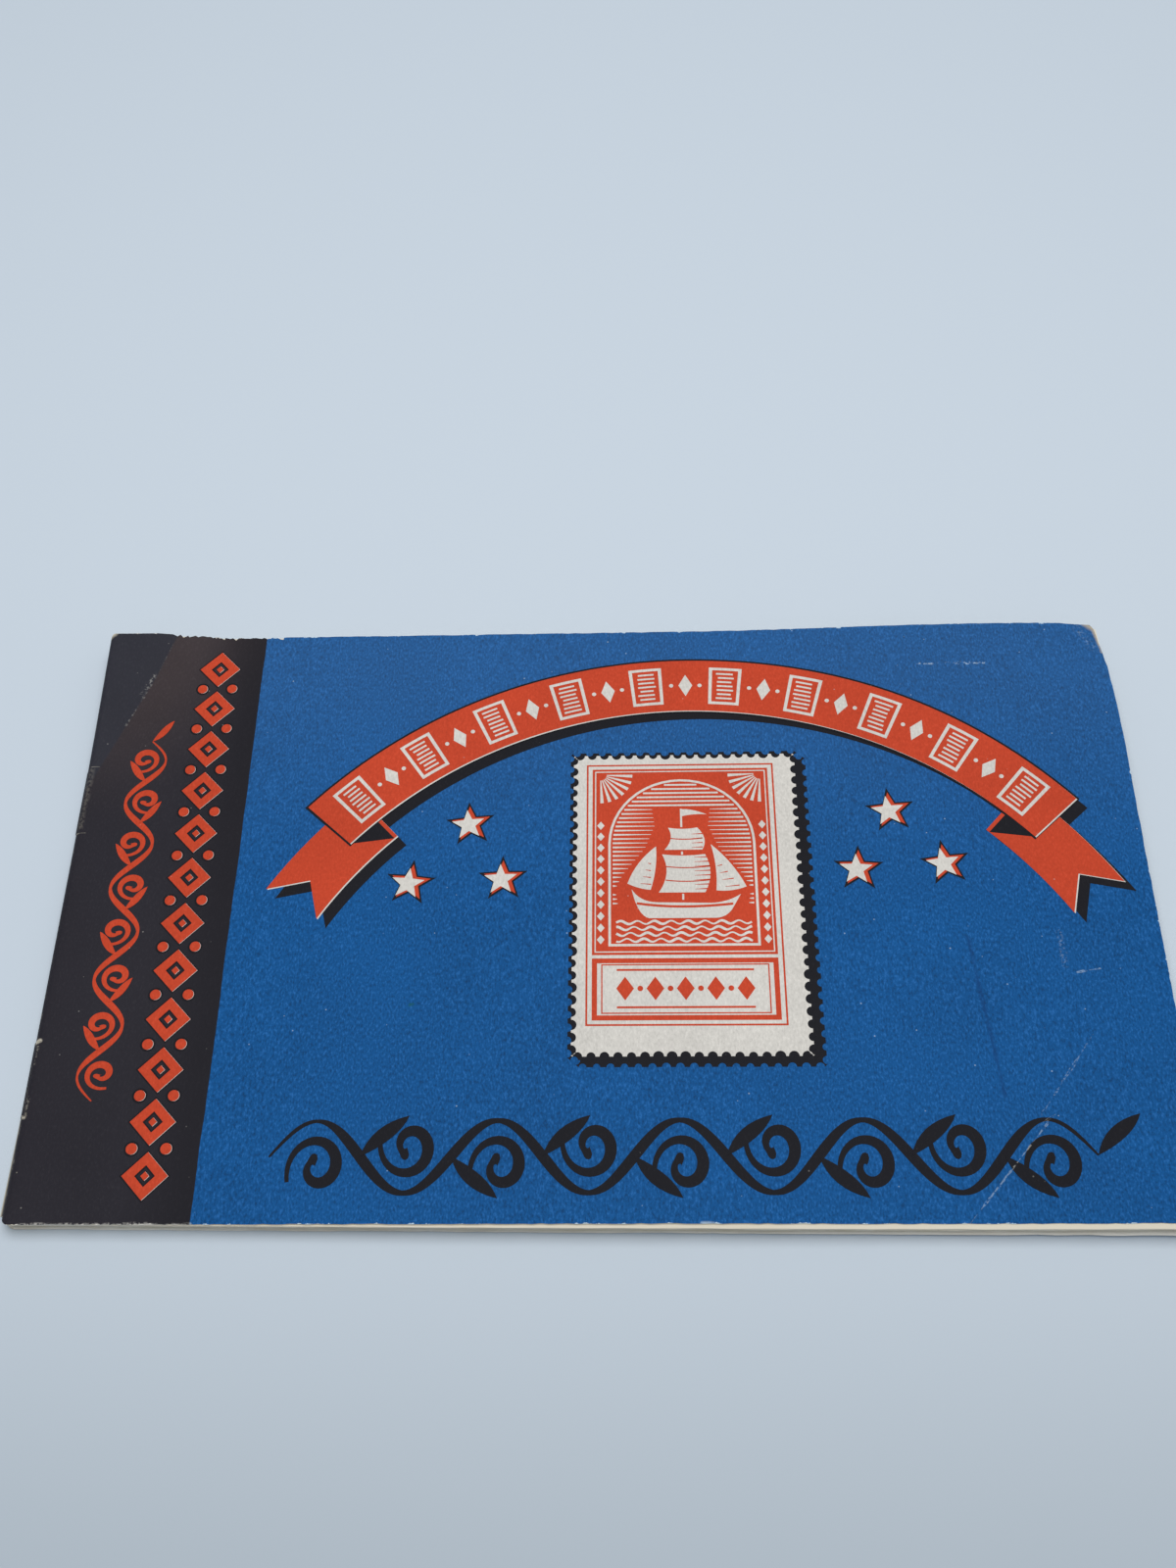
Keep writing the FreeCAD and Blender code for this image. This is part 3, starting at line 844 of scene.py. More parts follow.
# %% [markdown]
# ## Leaves
# Eight nested sheets give sixteen leaves. Each leaf is one sheet from the fold to the fore-edge. The leaves
# of the front half also carry the round fold of their sheet, spun about the fold axis. The rear half just
# rides. Handled leaves gather in bundles, and each bundle rises as one.

# %% Model the leaves
LEAF_CELL = 5 * MM
SHEETS = 8
FOLD_STEPS = 8
LEAF_STRAY = 0.14 * MM
LEAF_GAP = 0.13 * MM
LEAF_INSET = 0.2 * MM
LEAF_SHARE = 0.92
LIFT_REACH = 12 * MM
LEAF_FRAY = 0.12 * MM
LEAF_SEED = 40
LEAF_BUNDLES = [(5, 1.0), (6, 0.9), (5, 0.84)]
leaf_draw = random.Random(3)


def gather_leaves():
    """The height, skew and inset of each leaf at the fore-edge, and its share of the cover's rise.

    Handled leaves gather in bundles with gaps between them, and a bundle rises as one.
    """
    places = {}
    for size, skew in LEAF_BUNDLES:
        members = range(len(places) + 1, len(places) + 1 + size)
        middle = sum(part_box(f"leaf_{member:02d}")[1][2] for member in members) / size - LEAF / 2
        share = LEAF_SHARE * (1 - sum(members) / size / (2 * SHEETS + 1))
        for order, member in enumerate(members):
            stray = LEAF_STRAY * (leaf_draw.random() - 0.5)
            height = middle + ((size - 1) / 2 - order) * LEAF_GAP
            places[member] = (height, skew * MM + stray, LEAF_STRAY + 2 * stray, share)
    return places


def make_leaf(number):
    name = f"leaf_{number:02d}"
    on_front = number <= SHEETS
    sheet_number = number if on_front else 2 * SHEETS + 1 - number
    fold_node = f"sheet_{sheet_number}_fold"
    radius = FOLD_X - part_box(fold_node)[0][0] - LEAF / 2
    start_z = FOLD_Z + radius if on_front else FOLD_Z - radius
    end_z, skew, inset, share = leaf_places[number]
    leaf = even_sheet(name + "_paper", FOLD_X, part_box(name)[1][0] - inset, start_z, end_z, LEAF_CELL)
    for point in leaf.data.vertices:
        if point.co.y < NEAR_Y + 0.1 * MM:
            point.co.y += LEAF_INSET
    skew_corner(leaf, skew + LEAF_INSET, "INVERSE_SQUARE")
    trim_corner(leaf, LOWER_CORNER)
    if on_front:
        spin_fold(leaf, FOLD_STEPS)
        wear_fold_ends(leaf)
    fray_border(leaf, lambda place: LEAF_FRAY, LEAF_SEED + number, FOLD_X + 2 * MM)
    raise_sheet(leaf, lambda place: share * min(1.0, max(0.0, (place.x - FOLD_X) / LIFT_REACH)))
    curl_near_edge(leaf, 1 - share)
    dress(leaf, leaf_paper, leaf_paper, leaf_edge)
    thicken(leaf, LEAF, 0)
    bpy.ops.object.shade_smooth_by_angle(angle=math.radians(40))
    if on_front:
        blend_fold(leaf)
        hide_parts(name, fold_node)
    else:
        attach(leaf, name)
        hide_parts(name)
    return leaf


leaf_places = gather_leaves()
leaves = [make_leaf(number) for number in range(1, 2 * SHEETS + 1)]
print(len(leaves), "leaves of", len(leaves[0].data.polygons), "faces")

# %% [markdown]
# ## Staples
# Two bent wires. Each is drawn as a curve through the corners of the staple, with points close to each
# corner so that the bend stays small, and given a round section; its crown is pressed flat on the card. A
# staple sits in the fold and turns half as far as the leaves do.

# %% Model the staples
WIRE = 0.5 * MM
WIRE_BEND = 0.35 * MM
CLINCH = 4.5 * MM
CROWN_FLAT = 0.5
WIRE_BUMP = 0.02 * MM


def make_wire_material():
    material, tree, shader = new_material("staple_wire", 0.5)
    place = place_in_mm(tree)
    rust = soft_step(tree, noise(tree, place, 0.9, 4.0, 0.65), 0.45, 0.68)
    base = mix_colour(tree, rust, colour(58, 56, 56), colour(44, 36, 32))
    plug(tree, calc(tree, "SUBTRACT", 0.9, calc(tree, "MULTIPLY", rust, 0.75)), shader.inputs["Metallic"])
    finish_surface(tree, shader, base, calc(tree, "MULTIPLY_ADD", rust, 0.35, 0.42), rust, WIRE_BUMP)
    return material


def make_staple(name):
    low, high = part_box(name)
    outside = low[0] + WIRE / 2
    inside = high[0] - WIRE / 2
    near, far = low[1] + WIRE / 2, high[1] - WIRE / 2
    corners = [(inside, near + CLINCH), (inside, near), (outside, near), (outside, far), (inside, far),
               (inside, far - CLINCH)]
    path = [corners[0]]
    for before, corner, after in zip(corners, corners[1:], corners[2:]):
        for neighbour in (before, after):
            step = (Vector(neighbour) - Vector(corner)).normalized() * WIRE_BEND
            path.append(tuple(Vector(corner) + step))
            if neighbour is before:
                path.append(corner)
    path.append(corners[-1])
    wire = bpy.data.curves.new(name + "_wire", "CURVE")
    wire.dimensions = "3D"
    wire.bevel_depth = WIRE / 2
    wire.bevel_resolution = 4
    wire.use_fill_caps = True
    spline = wire.splines.new("NURBS")
    spline.points.add(len(path) - 1)
    for point, (x, y) in zip(spline.points, path):
        point.co = (x, y, FOLD_Z, 1)
    spline.order_u = 3
    spline.use_endpoint_u = True
    staple = bpy.data.objects.new(name + "_wire", wire)
    bpy.context.collection.objects.link(staple)
    bpy.ops.object.select_all(action="DESELECT")
    bpy.context.view_layer.objects.active = staple
    staple.select_set(True)
    bpy.ops.object.convert(target="MESH")
    staple = bpy.context.object
    merge_doubles(staple)
    for point in staple.data.vertices:
        if point.co.x < SPINE_X:
            point.co.x = SPINE_X + (point.co.x - SPINE_X) * CROWN_FLAT
    dress(staple, wire_material)
    bpy.ops.object.shade_smooth_by_angle(angle=math.radians(50))
    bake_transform(staple)
    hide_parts(name)
    return staple


wire_material = make_wire_material()
staples = [make_staple(name) for name in ("staple_near", "staple_far")]
print(len(staples), "staples of", len(staples[0].data.polygons), "faces")

# %% [markdown]
# ## Printing the cover
# The design is flat ink in three colours on the blue: an arched banner, two groups of stars, a large stamp,
# a scrolled vine along the foot and two columns of ornament on the band. Ink could be painted in the
# material, but shapes of their own keep their edges sharp from any distance. Each ink is drawn as flat
# closed curves, filled, cut small by a grid of bisections, dropped on to the curled card by a Shrinkwrap
# and given a hair of thickness. Later inks are a hair thicker, so they cover earlier ones, as on a press.

# %% Inks for the shapes
def make_ink(name, ink, mottle, specks):
    """An ink with the same marks of wear as the card under it."""
    material, tree, shader = new_material(name, GLOSS)
    worn = wear_of(tree, place_in_mm(tree), FRONT_MARKS)
    made = use_group(tree, ink_on_card, Ink=ink, Card=CARD_WHITE, Mottle=mottle, Specks=specks, Bare=worn)
    finish_surface(tree, shader, made["Color"], made["Roughness"], made["Height"], CARD_BUMP)
    return material


red_ink = make_ink("red_ink", RED, 0.3, 0.3)
black_ink = make_ink("black_ink", BLACK, 0.2, 0.2)
white_ink = make_ink("bare_card_white", CARD_WHITE, 0.3, 0.0)
print("inks:", red_ink.name, black_ink.name, white_ink.name)

# %% Outlines, as lists of points in millimetres on the cover
def arc(x, y, radius, start, end, steps):
    """Points of an arc about (x, y), from one angle in degrees to another."""
    turns = [math.radians(start + (end - start) * step / steps) for step in range(steps + 1)]
    return [(x + radius * math.cos(turn), y + radius * math.sin(turn)) for turn in turns]


def disc(x, y, radius):
    return arc(x, y, radius, 0, 345, 23)


def ring_part(x, y, inner, outer, start, end, steps):
    """A bent strip between two radii."""
    return arc(x, y, outer, start, end, steps) + arc(x, y, inner, end, start, steps)


def star(x, y, radius, turn):
    """A five-pointed star with one point at an angle in degrees."""
    tips = arc(x, y, radius, turn, turn + 288, 4)
    hollows = arc(x, y, radius * 0.42, turn + 36, turn + 324, 4)
    return [point for pair in zip(tips, hollows) for point in pair]


def lozenge(x, y, half_width, half_height):
    return [(x - half_width, y), (x, y - half_height), (x + half_width, y), (x, y + half_height)]


def block(low_x, low_y, high_x, high_y):
    return [(low_x, low_y), (high_x, low_y), (high_x, high_y), (low_x, high_y)]


def moved(outline, x, y):
    return [(point_x + x, point_y + y) for point_x, point_y in outline]


def bow(start, pull, end, steps=8):
    """A curve from start to end, drawn towards a third point."""
    shares = [step / steps for step in range(steps + 1)]
    return [tuple((1 - s) ** 2 * a + 2 * s * (1 - s) * b + s * s * c for a, b, c in zip(start, pull, end))
            for s in shares]


def pen_stroke(path, widths):
    """The outline of a stroke along a path, with its width at each point."""
    left, right = [], []
    for index, (place, width) in enumerate(zip(path, widths)):
        before = Vector(path[max(0, index - 1)])
        after = Vector(path[min(len(path) - 1, index + 1)])
        ahead = (after - before).normalized()
        side = Vector((-ahead.y, ahead.x)) * width / 2
        left.append(tuple(Vector(place) + side))
        right.append(tuple(Vector(place) - side))
    return left + right[::-1]


# %% Lay a set of outlines on the card
INK_STEP = 2.5
INK_LAYER = 0.022 * MM
DROP_HEIGHT = 20 * MM


def fill_outlines(name, outlines):
    """Fill closed outlines as one flat curve, where an outline inside another is a hole."""
    curve = bpy.data.curves.new(name, "CURVE")
    curve.dimensions = "2D"
    curve.fill_mode = "FRONT"
    for outline in outlines:
        spline = curve.splines.new("POLY")
        spline.points.add(len(outline) - 1)
        for point, (x, y) in zip(spline.points, outline):
            point.co = (x * MM, y * MM, 0, 1)
        spline.use_cyclic_u = True
    flat = bpy.data.objects.new(name, curve)
    flat.location.z = DROP_HEIGHT
    bpy.context.collection.objects.link(flat)
    flat.select_set(True)
    bpy.context.view_layer.objects.active = flat


def cut_small(piece):
    """Bisect a flat piece on a square grid, so that it can follow the curl of the card."""
    bpy.ops.object.mode_set(mode="EDIT")
    for axis, normal in enumerate(((1, 0, 0), (0, 1, 0))):
        places = [point.co[axis] / MM for point in piece.data.vertices]
        for line in range(math.ceil(min(places) / INK_STEP), math.floor(max(places) / INK_STEP) + 1):
            bpy.ops.mesh.select_all(action="SELECT")
            bpy.ops.mesh.bisect(plane_co=Vector(normal) * line * INK_STEP * MM, plane_no=normal)
    bpy.ops.object.mode_set(mode="OBJECT")


def lay_ink(name, shapes, ink, layer):
    """Print shapes on the front cover. A shape is a list of outlines: its border and any holes in it."""
    bpy.ops.object.select_all(action="DESELECT")
    for outlines in shapes:
        fill_outlines(name, outlines)
    bpy.ops.object.convert(target="MESH")
    if len(shapes) > 1:
        bpy.ops.object.join()
    piece = bpy.context.object
    piece.name = name
    bpy.ops.object.transform_apply(location=True, rotation=True, scale=True)
    cut_small(piece)
    merge_doubles(piece)
    wrap = piece.modifiers.new("drop on card", "SHRINKWRAP")
    wrap.target = front
    wrap.wrap_method = "PROJECT"
    wrap.use_project_z = True
    wrap.use_negative_direction = True
    wrap.use_positive_direction = False
    bpy.ops.object.modifier_apply(modifier=wrap.name)
    film = piece.modifiers.new("ink film", "SOLIDIFY")
    film.thickness = layer * INK_LAYER
    film.offset = 1
    bpy.ops.object.modifier_apply(modifier=film.name)
    dress(piece, ink)
    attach(piece, "front_cover")
    print(name, "has", len(piece.data.polygons), "faces")
    return piece


# %% [markdown]
# ## The banner
# A blank ribbon on a wide arch. Its ends fold behind and are cut to swallow tails. It is red with ten white
# boxes along it, each hatched like an engraving, and a lozenge between boxes. A black shadow falls to the
# right. The red plate was printed a little off its place, so a sliver of bare card shows along its lower
# side.

# %% Draw the banner
ARCH_X, ARCH_Y, ARCH_RADIUS = 18.5, -48.8, 99.0
BANNER_HALF = 6.3
TAIL_DROP = 5.6
BANNER_LEFT, BANNER_RIGHT = 138, 42
SHADOW = (2.0, -2.1)
SLIVER = (0.22, -0.2)
BOXES = 10
RUNGS = 7


def on_arch(inner, outer, start, end, steps=60):
    """A bent strip on the arch, between two distances from its middle line."""
    return ring_part(ARCH_X, ARCH_Y, ARCH_RADIUS + inner, ARCH_RADIUS + outer, start, end, steps)


def arch_point(rise, turn):
    return arc(ARCH_X, ARCH_Y, ARCH_RADIUS + rise, turn, turn, 1)[0]


def tail(start, end):
    """One end of the ribbon, with a notch cut into it."""
    outer = arc(ARCH_X, ARCH_Y, ARCH_RADIUS - TAIL_DROP + BANNER_HALF, start, end, 8)
    inner = arc(ARCH_X, ARCH_Y, ARCH_RADIUS - TAIL_DROP - BANNER_HALF, end, start, 8)
    return outer + [arch_point(-TAIL_DROP, end + (start - end) * 0.24)] + inner


def tuck(edge, back):
    """The dark inside of the fold between the ribbon and its tail."""
    return arc(ARCH_X, ARCH_Y, ARCH_RADIUS - BANNER_HALF, edge, back, 3) + \
        [arch_point(-BANNER_HALF - TAIL_DROP, back)]


def hatched_box(turn, draw):
    """A white box with short uneven rungs in it, as a list of shapes."""
    border = on_arch(-4.6, 4.6, turn + 1.95, turn - 1.95, 4)
    hole = on_arch(-3.95, 3.95, turn + 1.55, turn - 1.55, 4)
    shapes = [[border, hole]]
    for rung in range(RUNGS):
        rise = 1.02 * (rung - (RUNGS - 1) / 2)
        left = turn + 0.8 + 0.35 * draw.random()
        right = turn - 0.8 - 0.35 * draw.random()
        shapes.append([on_arch(rise - 0.21, rise + 0.21, left, right, 2)])
    return shapes


def box_divider(turn):
    """A lozenge with a dot on either side."""
    tips = [arch_point(2.7, turn), arch_point(0, turn - 0.85), arch_point(-2.7, turn),
            arch_point(0, turn + 0.85)]
    return [[tips]] + [[disc(*arch_point(0, turn + side), 0.45)] for side in (-1.75, 1.75)]


banner = on_arch(-BANNER_HALF, BANNER_HALF, BANNER_LEFT, BANNER_RIGHT)
banner_line = on_arch(-BANNER_HALF - 0.45, BANNER_HALF + 0.45, BANNER_LEFT + 0.26, BANNER_RIGHT - 0.26)
tails = [tail(133, 148.5), tail(47, 31.5)]
tucks = [tuck(BANNER_LEFT, 133.5), tuck(BANNER_RIGHT, 46.5)]
box_turns = [BANNER_LEFT - 4.8 - 9.6 * box for box in range(BOXES)]
box_draw = random.Random(21)
boxes = [shape for turn in box_turns for shape in hatched_box(turn, box_draw)]
dividers = [shape for turn in box_turns[1:] for shape in box_divider(turn + 4.8)]
print("banner with", BOXES, "boxes and", len(boxes) + len(dividers), "white shapes")

# %% Print the banner
lay_ink("banner_shadow", [[moved(shape, *SHADOW)] for shape in [banner] + tails], black_ink, 1)
lay_ink("banner_tail_sliver", [[moved(shape, *SLIVER)] for shape in tails], white_ink, 2)
lay_ink("banner_tails", [[shape] for shape in tails], red_ink, 3)
lay_ink("banner_tucks", [[shape] for shape in tucks], black_ink, 4)
lay_ink("banner_line", [[banner_line]], black_ink, 5)
lay_ink("banner_sliver", [[moved(banner, *SLIVER)]], white_ink, 6)
lay_ink("banner_red", [[banner]], red_ink, 7)
lay_ink("banner_white", boxes + dividers, white_ink, 8)

# %% [markdown]
# ## Stars
# Two groups of three plain stars: white, with the red plate showing at one side and a thin black line round
# both.

# %% Draw and print the stars
STARS = [(-26.1, 17.4, 96), (-37.7, 4.3, 84), (-19.1, 5.0, 92),
         (59.1, 19.5, 95), (51.7, 6.6, 88), (69.0, 7.7, 97)]
STAR_LINE, STAR_RED, STAR_WHITE = 5.2, 4.1, 3.45

lay_ink("star_lines", [[star(x + 0.1, y, STAR_LINE, turn)] for x, y, turn in STARS], black_ink, 1)
lay_ink("star_reds", [[star(x + 0.15, y + 0.05, STAR_RED, turn)] for x, y, turn in STARS], red_ink, 2)
lay_ink("star_whites", [[star(x - 0.4, y - 0.1, STAR_WHITE, turn)] for x, y, turn in STARS], white_ink, 3)

# %% [markdown]
# ## The stamp
# A large printed stamp with a perforated border: a row of half-round bites along each side. Its picture is
# a small sailing ship under an arch, drawn like an engraving in red and bare card, over a plain panel with
# a row of lozenges. A thin black line follows the bites, and a black shadow falls to the right and below.

# %% Draw and print the stamp's paper
STAMP_X, STAMP_Y = 17.7, 0.6
STAMP_WIDTH, STAMP_HEIGHT = 45.6, 65.0
HOLES_ACROSS, HOLES_ALONG = 18, 26
BITE = 0.95


def perforated(width, height, bite, seed):
    """A rectangle about the stamp's middle with half-round bites of uneven size along its sides."""
    outline = []
    draw = random.Random(seed)
    corner = Vector((-width / 2, -height / 2))
    sides = [((1, 0), width, HOLES_ACROSS), ((0, 1), height, HOLES_ALONG),
             ((-1, 0), width, HOLES_ACROSS), ((0, -1), height, HOLES_ALONG)]
    for direction, length, holes in sides:
        ahead = Vector(direction)
        inward = Vector((-ahead.y, ahead.x))
        for hole in range(holes):
            middle = corner + ahead * length * (hole + 0.5) / holes
            radius = bite * (0.88 + 0.24 * draw.random())
            for step in range(9):
                turn = math.pi * step / 8
                bitten = middle - ahead * radius * math.cos(turn) + inward * radius * math.sin(turn)
                outline.append(tuple(bitten))
        corner = corner + ahead * length
    return moved(outline, STAMP_X, STAMP_Y)


stamp_edge = perforated(STAMP_WIDTH, STAMP_HEIGHT, BITE, 4)
stamp_line = perforated(STAMP_WIDTH + 1.3, STAMP_HEIGHT + 1.3, 0.8 * BITE, 4)
lay_ink("stamp_shadow", [[moved(stamp_line, 1.6, -1.4)]], black_ink, 1)
lay_ink("stamp_line", [[stamp_line]], black_ink, 2)
lay_ink("stamp_paper", [[stamp_edge]], white_ink, 3)

# %% [markdown]
# The ship is built from curves between a few points, measured from the water line. The sky is ruled with
# lines that thin out towards the ship, which is how an engraver makes a tint out of one ink.

# %% Draw the ship
SEA = -5.0
ARCH_FOOT, ARCH_SPRING, ARCH_HALF = -12.2, 10.0, 14.8


def from_sea(outline):
    """Move an outline that was drawn from the water line to its place in the picture."""
    return moved(outline, 0, SEA)


def sail(head, foot, belly):
    """A square sail between two level edges, blown to one side."""
    (left, right, top), (low_left, low_right, bottom) = head, foot
    middle = (top + bottom) / 2
    return (bow((left, top), ((left + right) / 2, top - 0.6), (right, top), 4) +
            bow((right, top), (max(right, low_right) + belly, middle), (low_right, bottom)) +
            bow((low_left, bottom), (max(left, low_left) + belly, middle), (left, top))[:-1])


def jib(peak, clew, tack, slack):
    """A three-cornered sail with a hollow inner side."""
    return (bow(peak, ((peak[0] + clew[0]) / 2 + slack, (peak[1] + clew[1]) / 2 + 0.8), clew) +
            bow(clew, ((clew[0] + tack[0]) / 2, clew[1] - 1.2), tack) +
            bow(tack, ((peak[0] + tack[0]) / 2 + 0.9, (peak[1] + tack[1]) / 2), peak)[:-1])


hull = (bow((-10.2, 5.0), (-8.6, 2.2), (-5.2, 2.1)) + bow((5.4, 1.9), (8.8, 2.0), (11.4, 3.8)) +
        bow((9.6, 0.6), (8.4, -1.2), (6.4, -1.3)) + bow((-6.8, -1.3), (-9.0, -0.8), (-10.2, 5.0))[:-1])
sails = [sail((-4.0, 4.6, 12.6), (-4.8, 4.4, 4.2), 2.0), sail((-2.7, 3.2, 18.6), (-3.5, 4.1, 13.6), 1.4),
         jib((5.8, 14.8), (12.6, 5.4), (6.6, 4.6), 0.9), jib((-5.2, 14.4), (-11.0, 6.2), (-6.4, 4.8), -1.2)]
pennant = bow((0.2, 22.8), (2.0, 23.0), (5.2, 21.6), 5) + bow((5.2, 21.6), (2.4, 21.8), (0.2, 21.2), 5)[1:]
masts = [block(-0.2, 2.6, 0.2, 3.9), block(-0.2, 12.5, 0.2, 13.2), block(-0.2, 18.7, 0.2, 22.9)]
ship = [from_sea(part) for part in [hull] + sails + [pennant] + masts]
rail = pen_stroke(bow((-9.2, 1.9), (-1.0, 0.5), (9.8, 1.7)), [0.5] * 9)
seams = [pen_stroke(bow((-3.4, level), (0.6, level - 0.6), (5.5, level)), [0.22] * 9) for level in (6.9, 9.9)]
seams.append(pen_stroke(bow((-2.5, 16.2), (0.5, 15.7), (4.2, 16.2)), [0.22] * 9))
folds = []
for level in range(8):
    folds.append(pen_stroke([(5.6 - 0.05 * (level - 4) ** 2, 5.0 + level), (2.4, 4.9 + level)], (0.26, 0.06)))
    if level < 4:
        rise = 1.5 * level
        short_folds = [[(4.2, 14.2 + level), (2.0, 14.1 + level)],
                       [(11.2 - 1.1 * level, 5.7 + rise), (8.4 - 0.5 * level, 5.4 + rise)],
                       [(-6.3, 6.0 + rise), (-8.4 + 0.5 * level, 6.2 + rise)]]
        folds += [pen_stroke(path, (0.24, 0.06)) for path in short_folds]
ship_lines = [from_sea(part) for part in [rail] + seams + folds]
print("ship of", len(ship), "parts and", len(ship_lines), "lines")

# %% Draw the arch, the sky, the sea and the panel, and print the picture
PICTURE_X, PICTURE_Y = STAMP_X - 0.9, STAMP_Y + 1.9
SKY_PITCH = 0.95


def in_picture(shapes):
    return [[moved(part, PICTURE_X, PICTURE_Y) for part in shape] for shape in shapes]


def framed(half_width, low_y, high_y, line):
    """The border of a rectangle and the hole in it."""
    return [block(-half_width, low_y, half_width, high_y),
            block(line - half_width, low_y + line, half_width - line, high_y - line)]


def window(half):
    """The outline of the arched window."""
    foot = ARCH_FOOT + ARCH_HALF - half
    return [(half, foot)] + arc(0, ARCH_SPRING, half, 0, 180, 24) + [(-half, foot)]


def clear_of_ship(level):
    """How far from the middle the sky starts at a height over the sea."""
    steps = [(0, 12.6), (5, 13.4), (8, 12.0), (14, 7.4), (19, 5.4), (23.2, 5.9), (23.4, 0)]
    for (low, here), (high, there) in zip(steps, steps[1:]):
        if level < high:
            return here + (there - here) * (level - low) / (high - low)
    return 0.0


sky_lines = []
row_count = int((ARCH_SPRING + ARCH_HALF - SEA) / SKY_PITCH)
for row in range(2, row_count):
    level = SEA + row * SKY_PITCH
    above = max(0.0, level - ARCH_SPRING)
    half = math.sqrt(max(0.0, (ARCH_HALF - 0.9) ** 2 - above ** 2))
    start = clear_of_ship(level - SEA)
    if start == 0.0 and half > 1:
        sky_lines.append(pen_stroke([(-half, level), (half, level)], (0.4, 0.4)))
    elif half > start + 0.6:
        for side in (-1, 1):
            sky_lines.append(pen_stroke([(side * half, level), (side * start, level)], (0.42, 0.1)))
waves = []
for row in range(4):
    level = SEA - 2.2 - 1.25 * row
    path = [(x / 4, level + 0.34 * math.sin(x / 4 * 1.9 + row * 1.3)) for x in range(-53, 54)]
    waves.append(pen_stroke(path, [0.42 + 0.12 * math.sin(x / 4 * 0.95 + row) for x in range(-53, 54)]))
fans = []
for side in (-1, 1):
    for ray in range(7):
        turn = math.radians(3 + 14 * ray)
        path = [(side * (16.4 - reach * math.cos(turn)), 26.0 - reach * math.sin(turn))
                for reach in (1.3, 6.6)]
        fans.append(pen_stroke(path, (0.2, 0.7)))
beads = [lozenge(side * 16.3, ARCH_FOOT + 1.4 + 2.5 * row, 0.75, 0.95)
         for side in (-1, 1) for row in range(11)]
panel_row = [lozenge(x, -20.9, 1.7, 2.4) for x in (-11.6, -5.8, 0, 5.8, 11.6)]
panel_row += [disc(x, -20.9, 0.55) for x in (-8.7, -2.9, 2.9, 8.7)]
panel_row += [block(-13.2, -24.9, 13.2, -24.5), block(-13.2, -17.3, 13.2, -16.9)]
red_shapes = [framed(19.2, -28.4, 28.4, 0.35), [block(-18.0, -14.0, 18.0, 27.3)],
              framed(18.0, -27.3, -14.7, 1.0), framed(16.2, -26.0, -15.9, 0.25)]
red_shapes += [[part] for part in panel_row]
white_shapes = [[window(ARCH_HALF), window(ARCH_HALF - 0.5)], framed(17.5, -13.5, 26.8, 0.24)]
white_shapes += [[part] for part in ship + sky_lines + waves + fans + beads]

lay_ink("stamp_red", in_picture(red_shapes), red_ink, 4)
lay_ink("stamp_white", in_picture(white_shapes), white_ink, 5)
lay_ink("stamp_fine_red", in_picture([[part] for part in ship_lines]), red_ink, 6)

# %% [markdown]
# ## Scrolled vines
# A vine is an old border ornament: a waving stem with a tendril curled into each bend. The stem is a sine
# wave and a tendril a spiral, and both swell and thin like strokes of a broad pen. One function draws it at
# any size, along the foot of the cover in black and up the band in red. Strokes that cross lie in layers of
# their own.

# %% Draw the vines
TENDRIL_STEPS = 48


def vine_stem(length, bay, height, weight):
    path = [(length * step / 200, height * math.sin(math.pi * length * step / 200 / bay))
            for step in range(201)]
    widths = [weight * (0.45 + 0.55 * abs(math.cos(math.pi * x / bay))) *
              min(1.0, x / bay + 0.2, (length - x) / bay + 0.2) for x, _ in path]
    return pen_stroke(path, widths)


def tendril(middle, side, height, weight):
    """A spiral stroke that ends in a bulb."""
    path = []
    widths = []
    for step in range(TENDRIL_STEPS + 1):
        share = step / TENDRIL_STEPS
        turn = math.radians(205 - 470 * share)
        radius = height * (0.98 - 0.8 * share ** 0.8)
        path.append((middle + 0.9 * radius * math.cos(turn),
                     side * (radius * math.sin(turn) - 0.28 * height)))
        bulb = 0.9 * math.exp(-((share - 0.95) / 0.05) ** 2)
        widths.append(weight * (0.3 + 0.8 * math.sin(math.pi * (0.1 + 0.85 * share)) ** 2 + bulb))
    widths[-1] *= 0.5
    return pen_stroke(path, widths)


def vine_leaf(foot, bay, side, height):
    tip = (foot + 0.52 * bay, side * height * 1.15)
    return bow((foot, 0), (foot + 0.1 * bay, side * height * 0.9), tip) + \
        bow(tip, (foot + 0.42 * bay, side * height * 0.5), (foot, 0))[1:-1]


def vine(length, bays, height, weight):
    """Stems, tendrils and leaves of a vine along x from 0, waving about y = 0."""
    bay = length / bays
    sides = [1 if index % 2 == 0 else -1 for index in range(bays)]
    stems = [vine_stem(length, bay, height, weight)]
    tendrils = [tendril((index + 0.54) * bay, side, height, weight) for index, side in enumerate(sides)]
    leaves = [vine_leaf((index + 1) * bay, bay, side, height) for index, side in enumerate(sides)]
    return stems, tendrils, leaves


def upright(outline):
    """Turn an outline a quarter, so that what ran along x runs up the cover."""
    return [(-y, x) for x, y in outline]


foot_vine = [[moved(stroke, -60.0, -50.6) for stroke in kind] for kind in vine(150.0, 9, 6.6, 2.0)]
band_vine = [[moved(upright(stroke), -94.6, -40.0) for stroke in kind] for kind in vine(78.0, 8, 3.5, 1.25)]
print("vines of", sum(map(len, foot_vine)), "and", sum(map(len, band_vine)), "strokes")

# %% Print the vines
vine_kinds = zip(("stem", "tendrils", "leaves"), foot_vine, band_vine)
for layer, (kind, black_strokes, red_strokes) in enumerate(vine_kinds):
    lay_ink("foot_vine_" + kind, [[stroke] for stroke in black_strokes], black_ink, 1 + layer)
    lay_ink("band_vine_" + kind, [[stroke] for stroke in red_strokes], red_ink, 1 + layer)

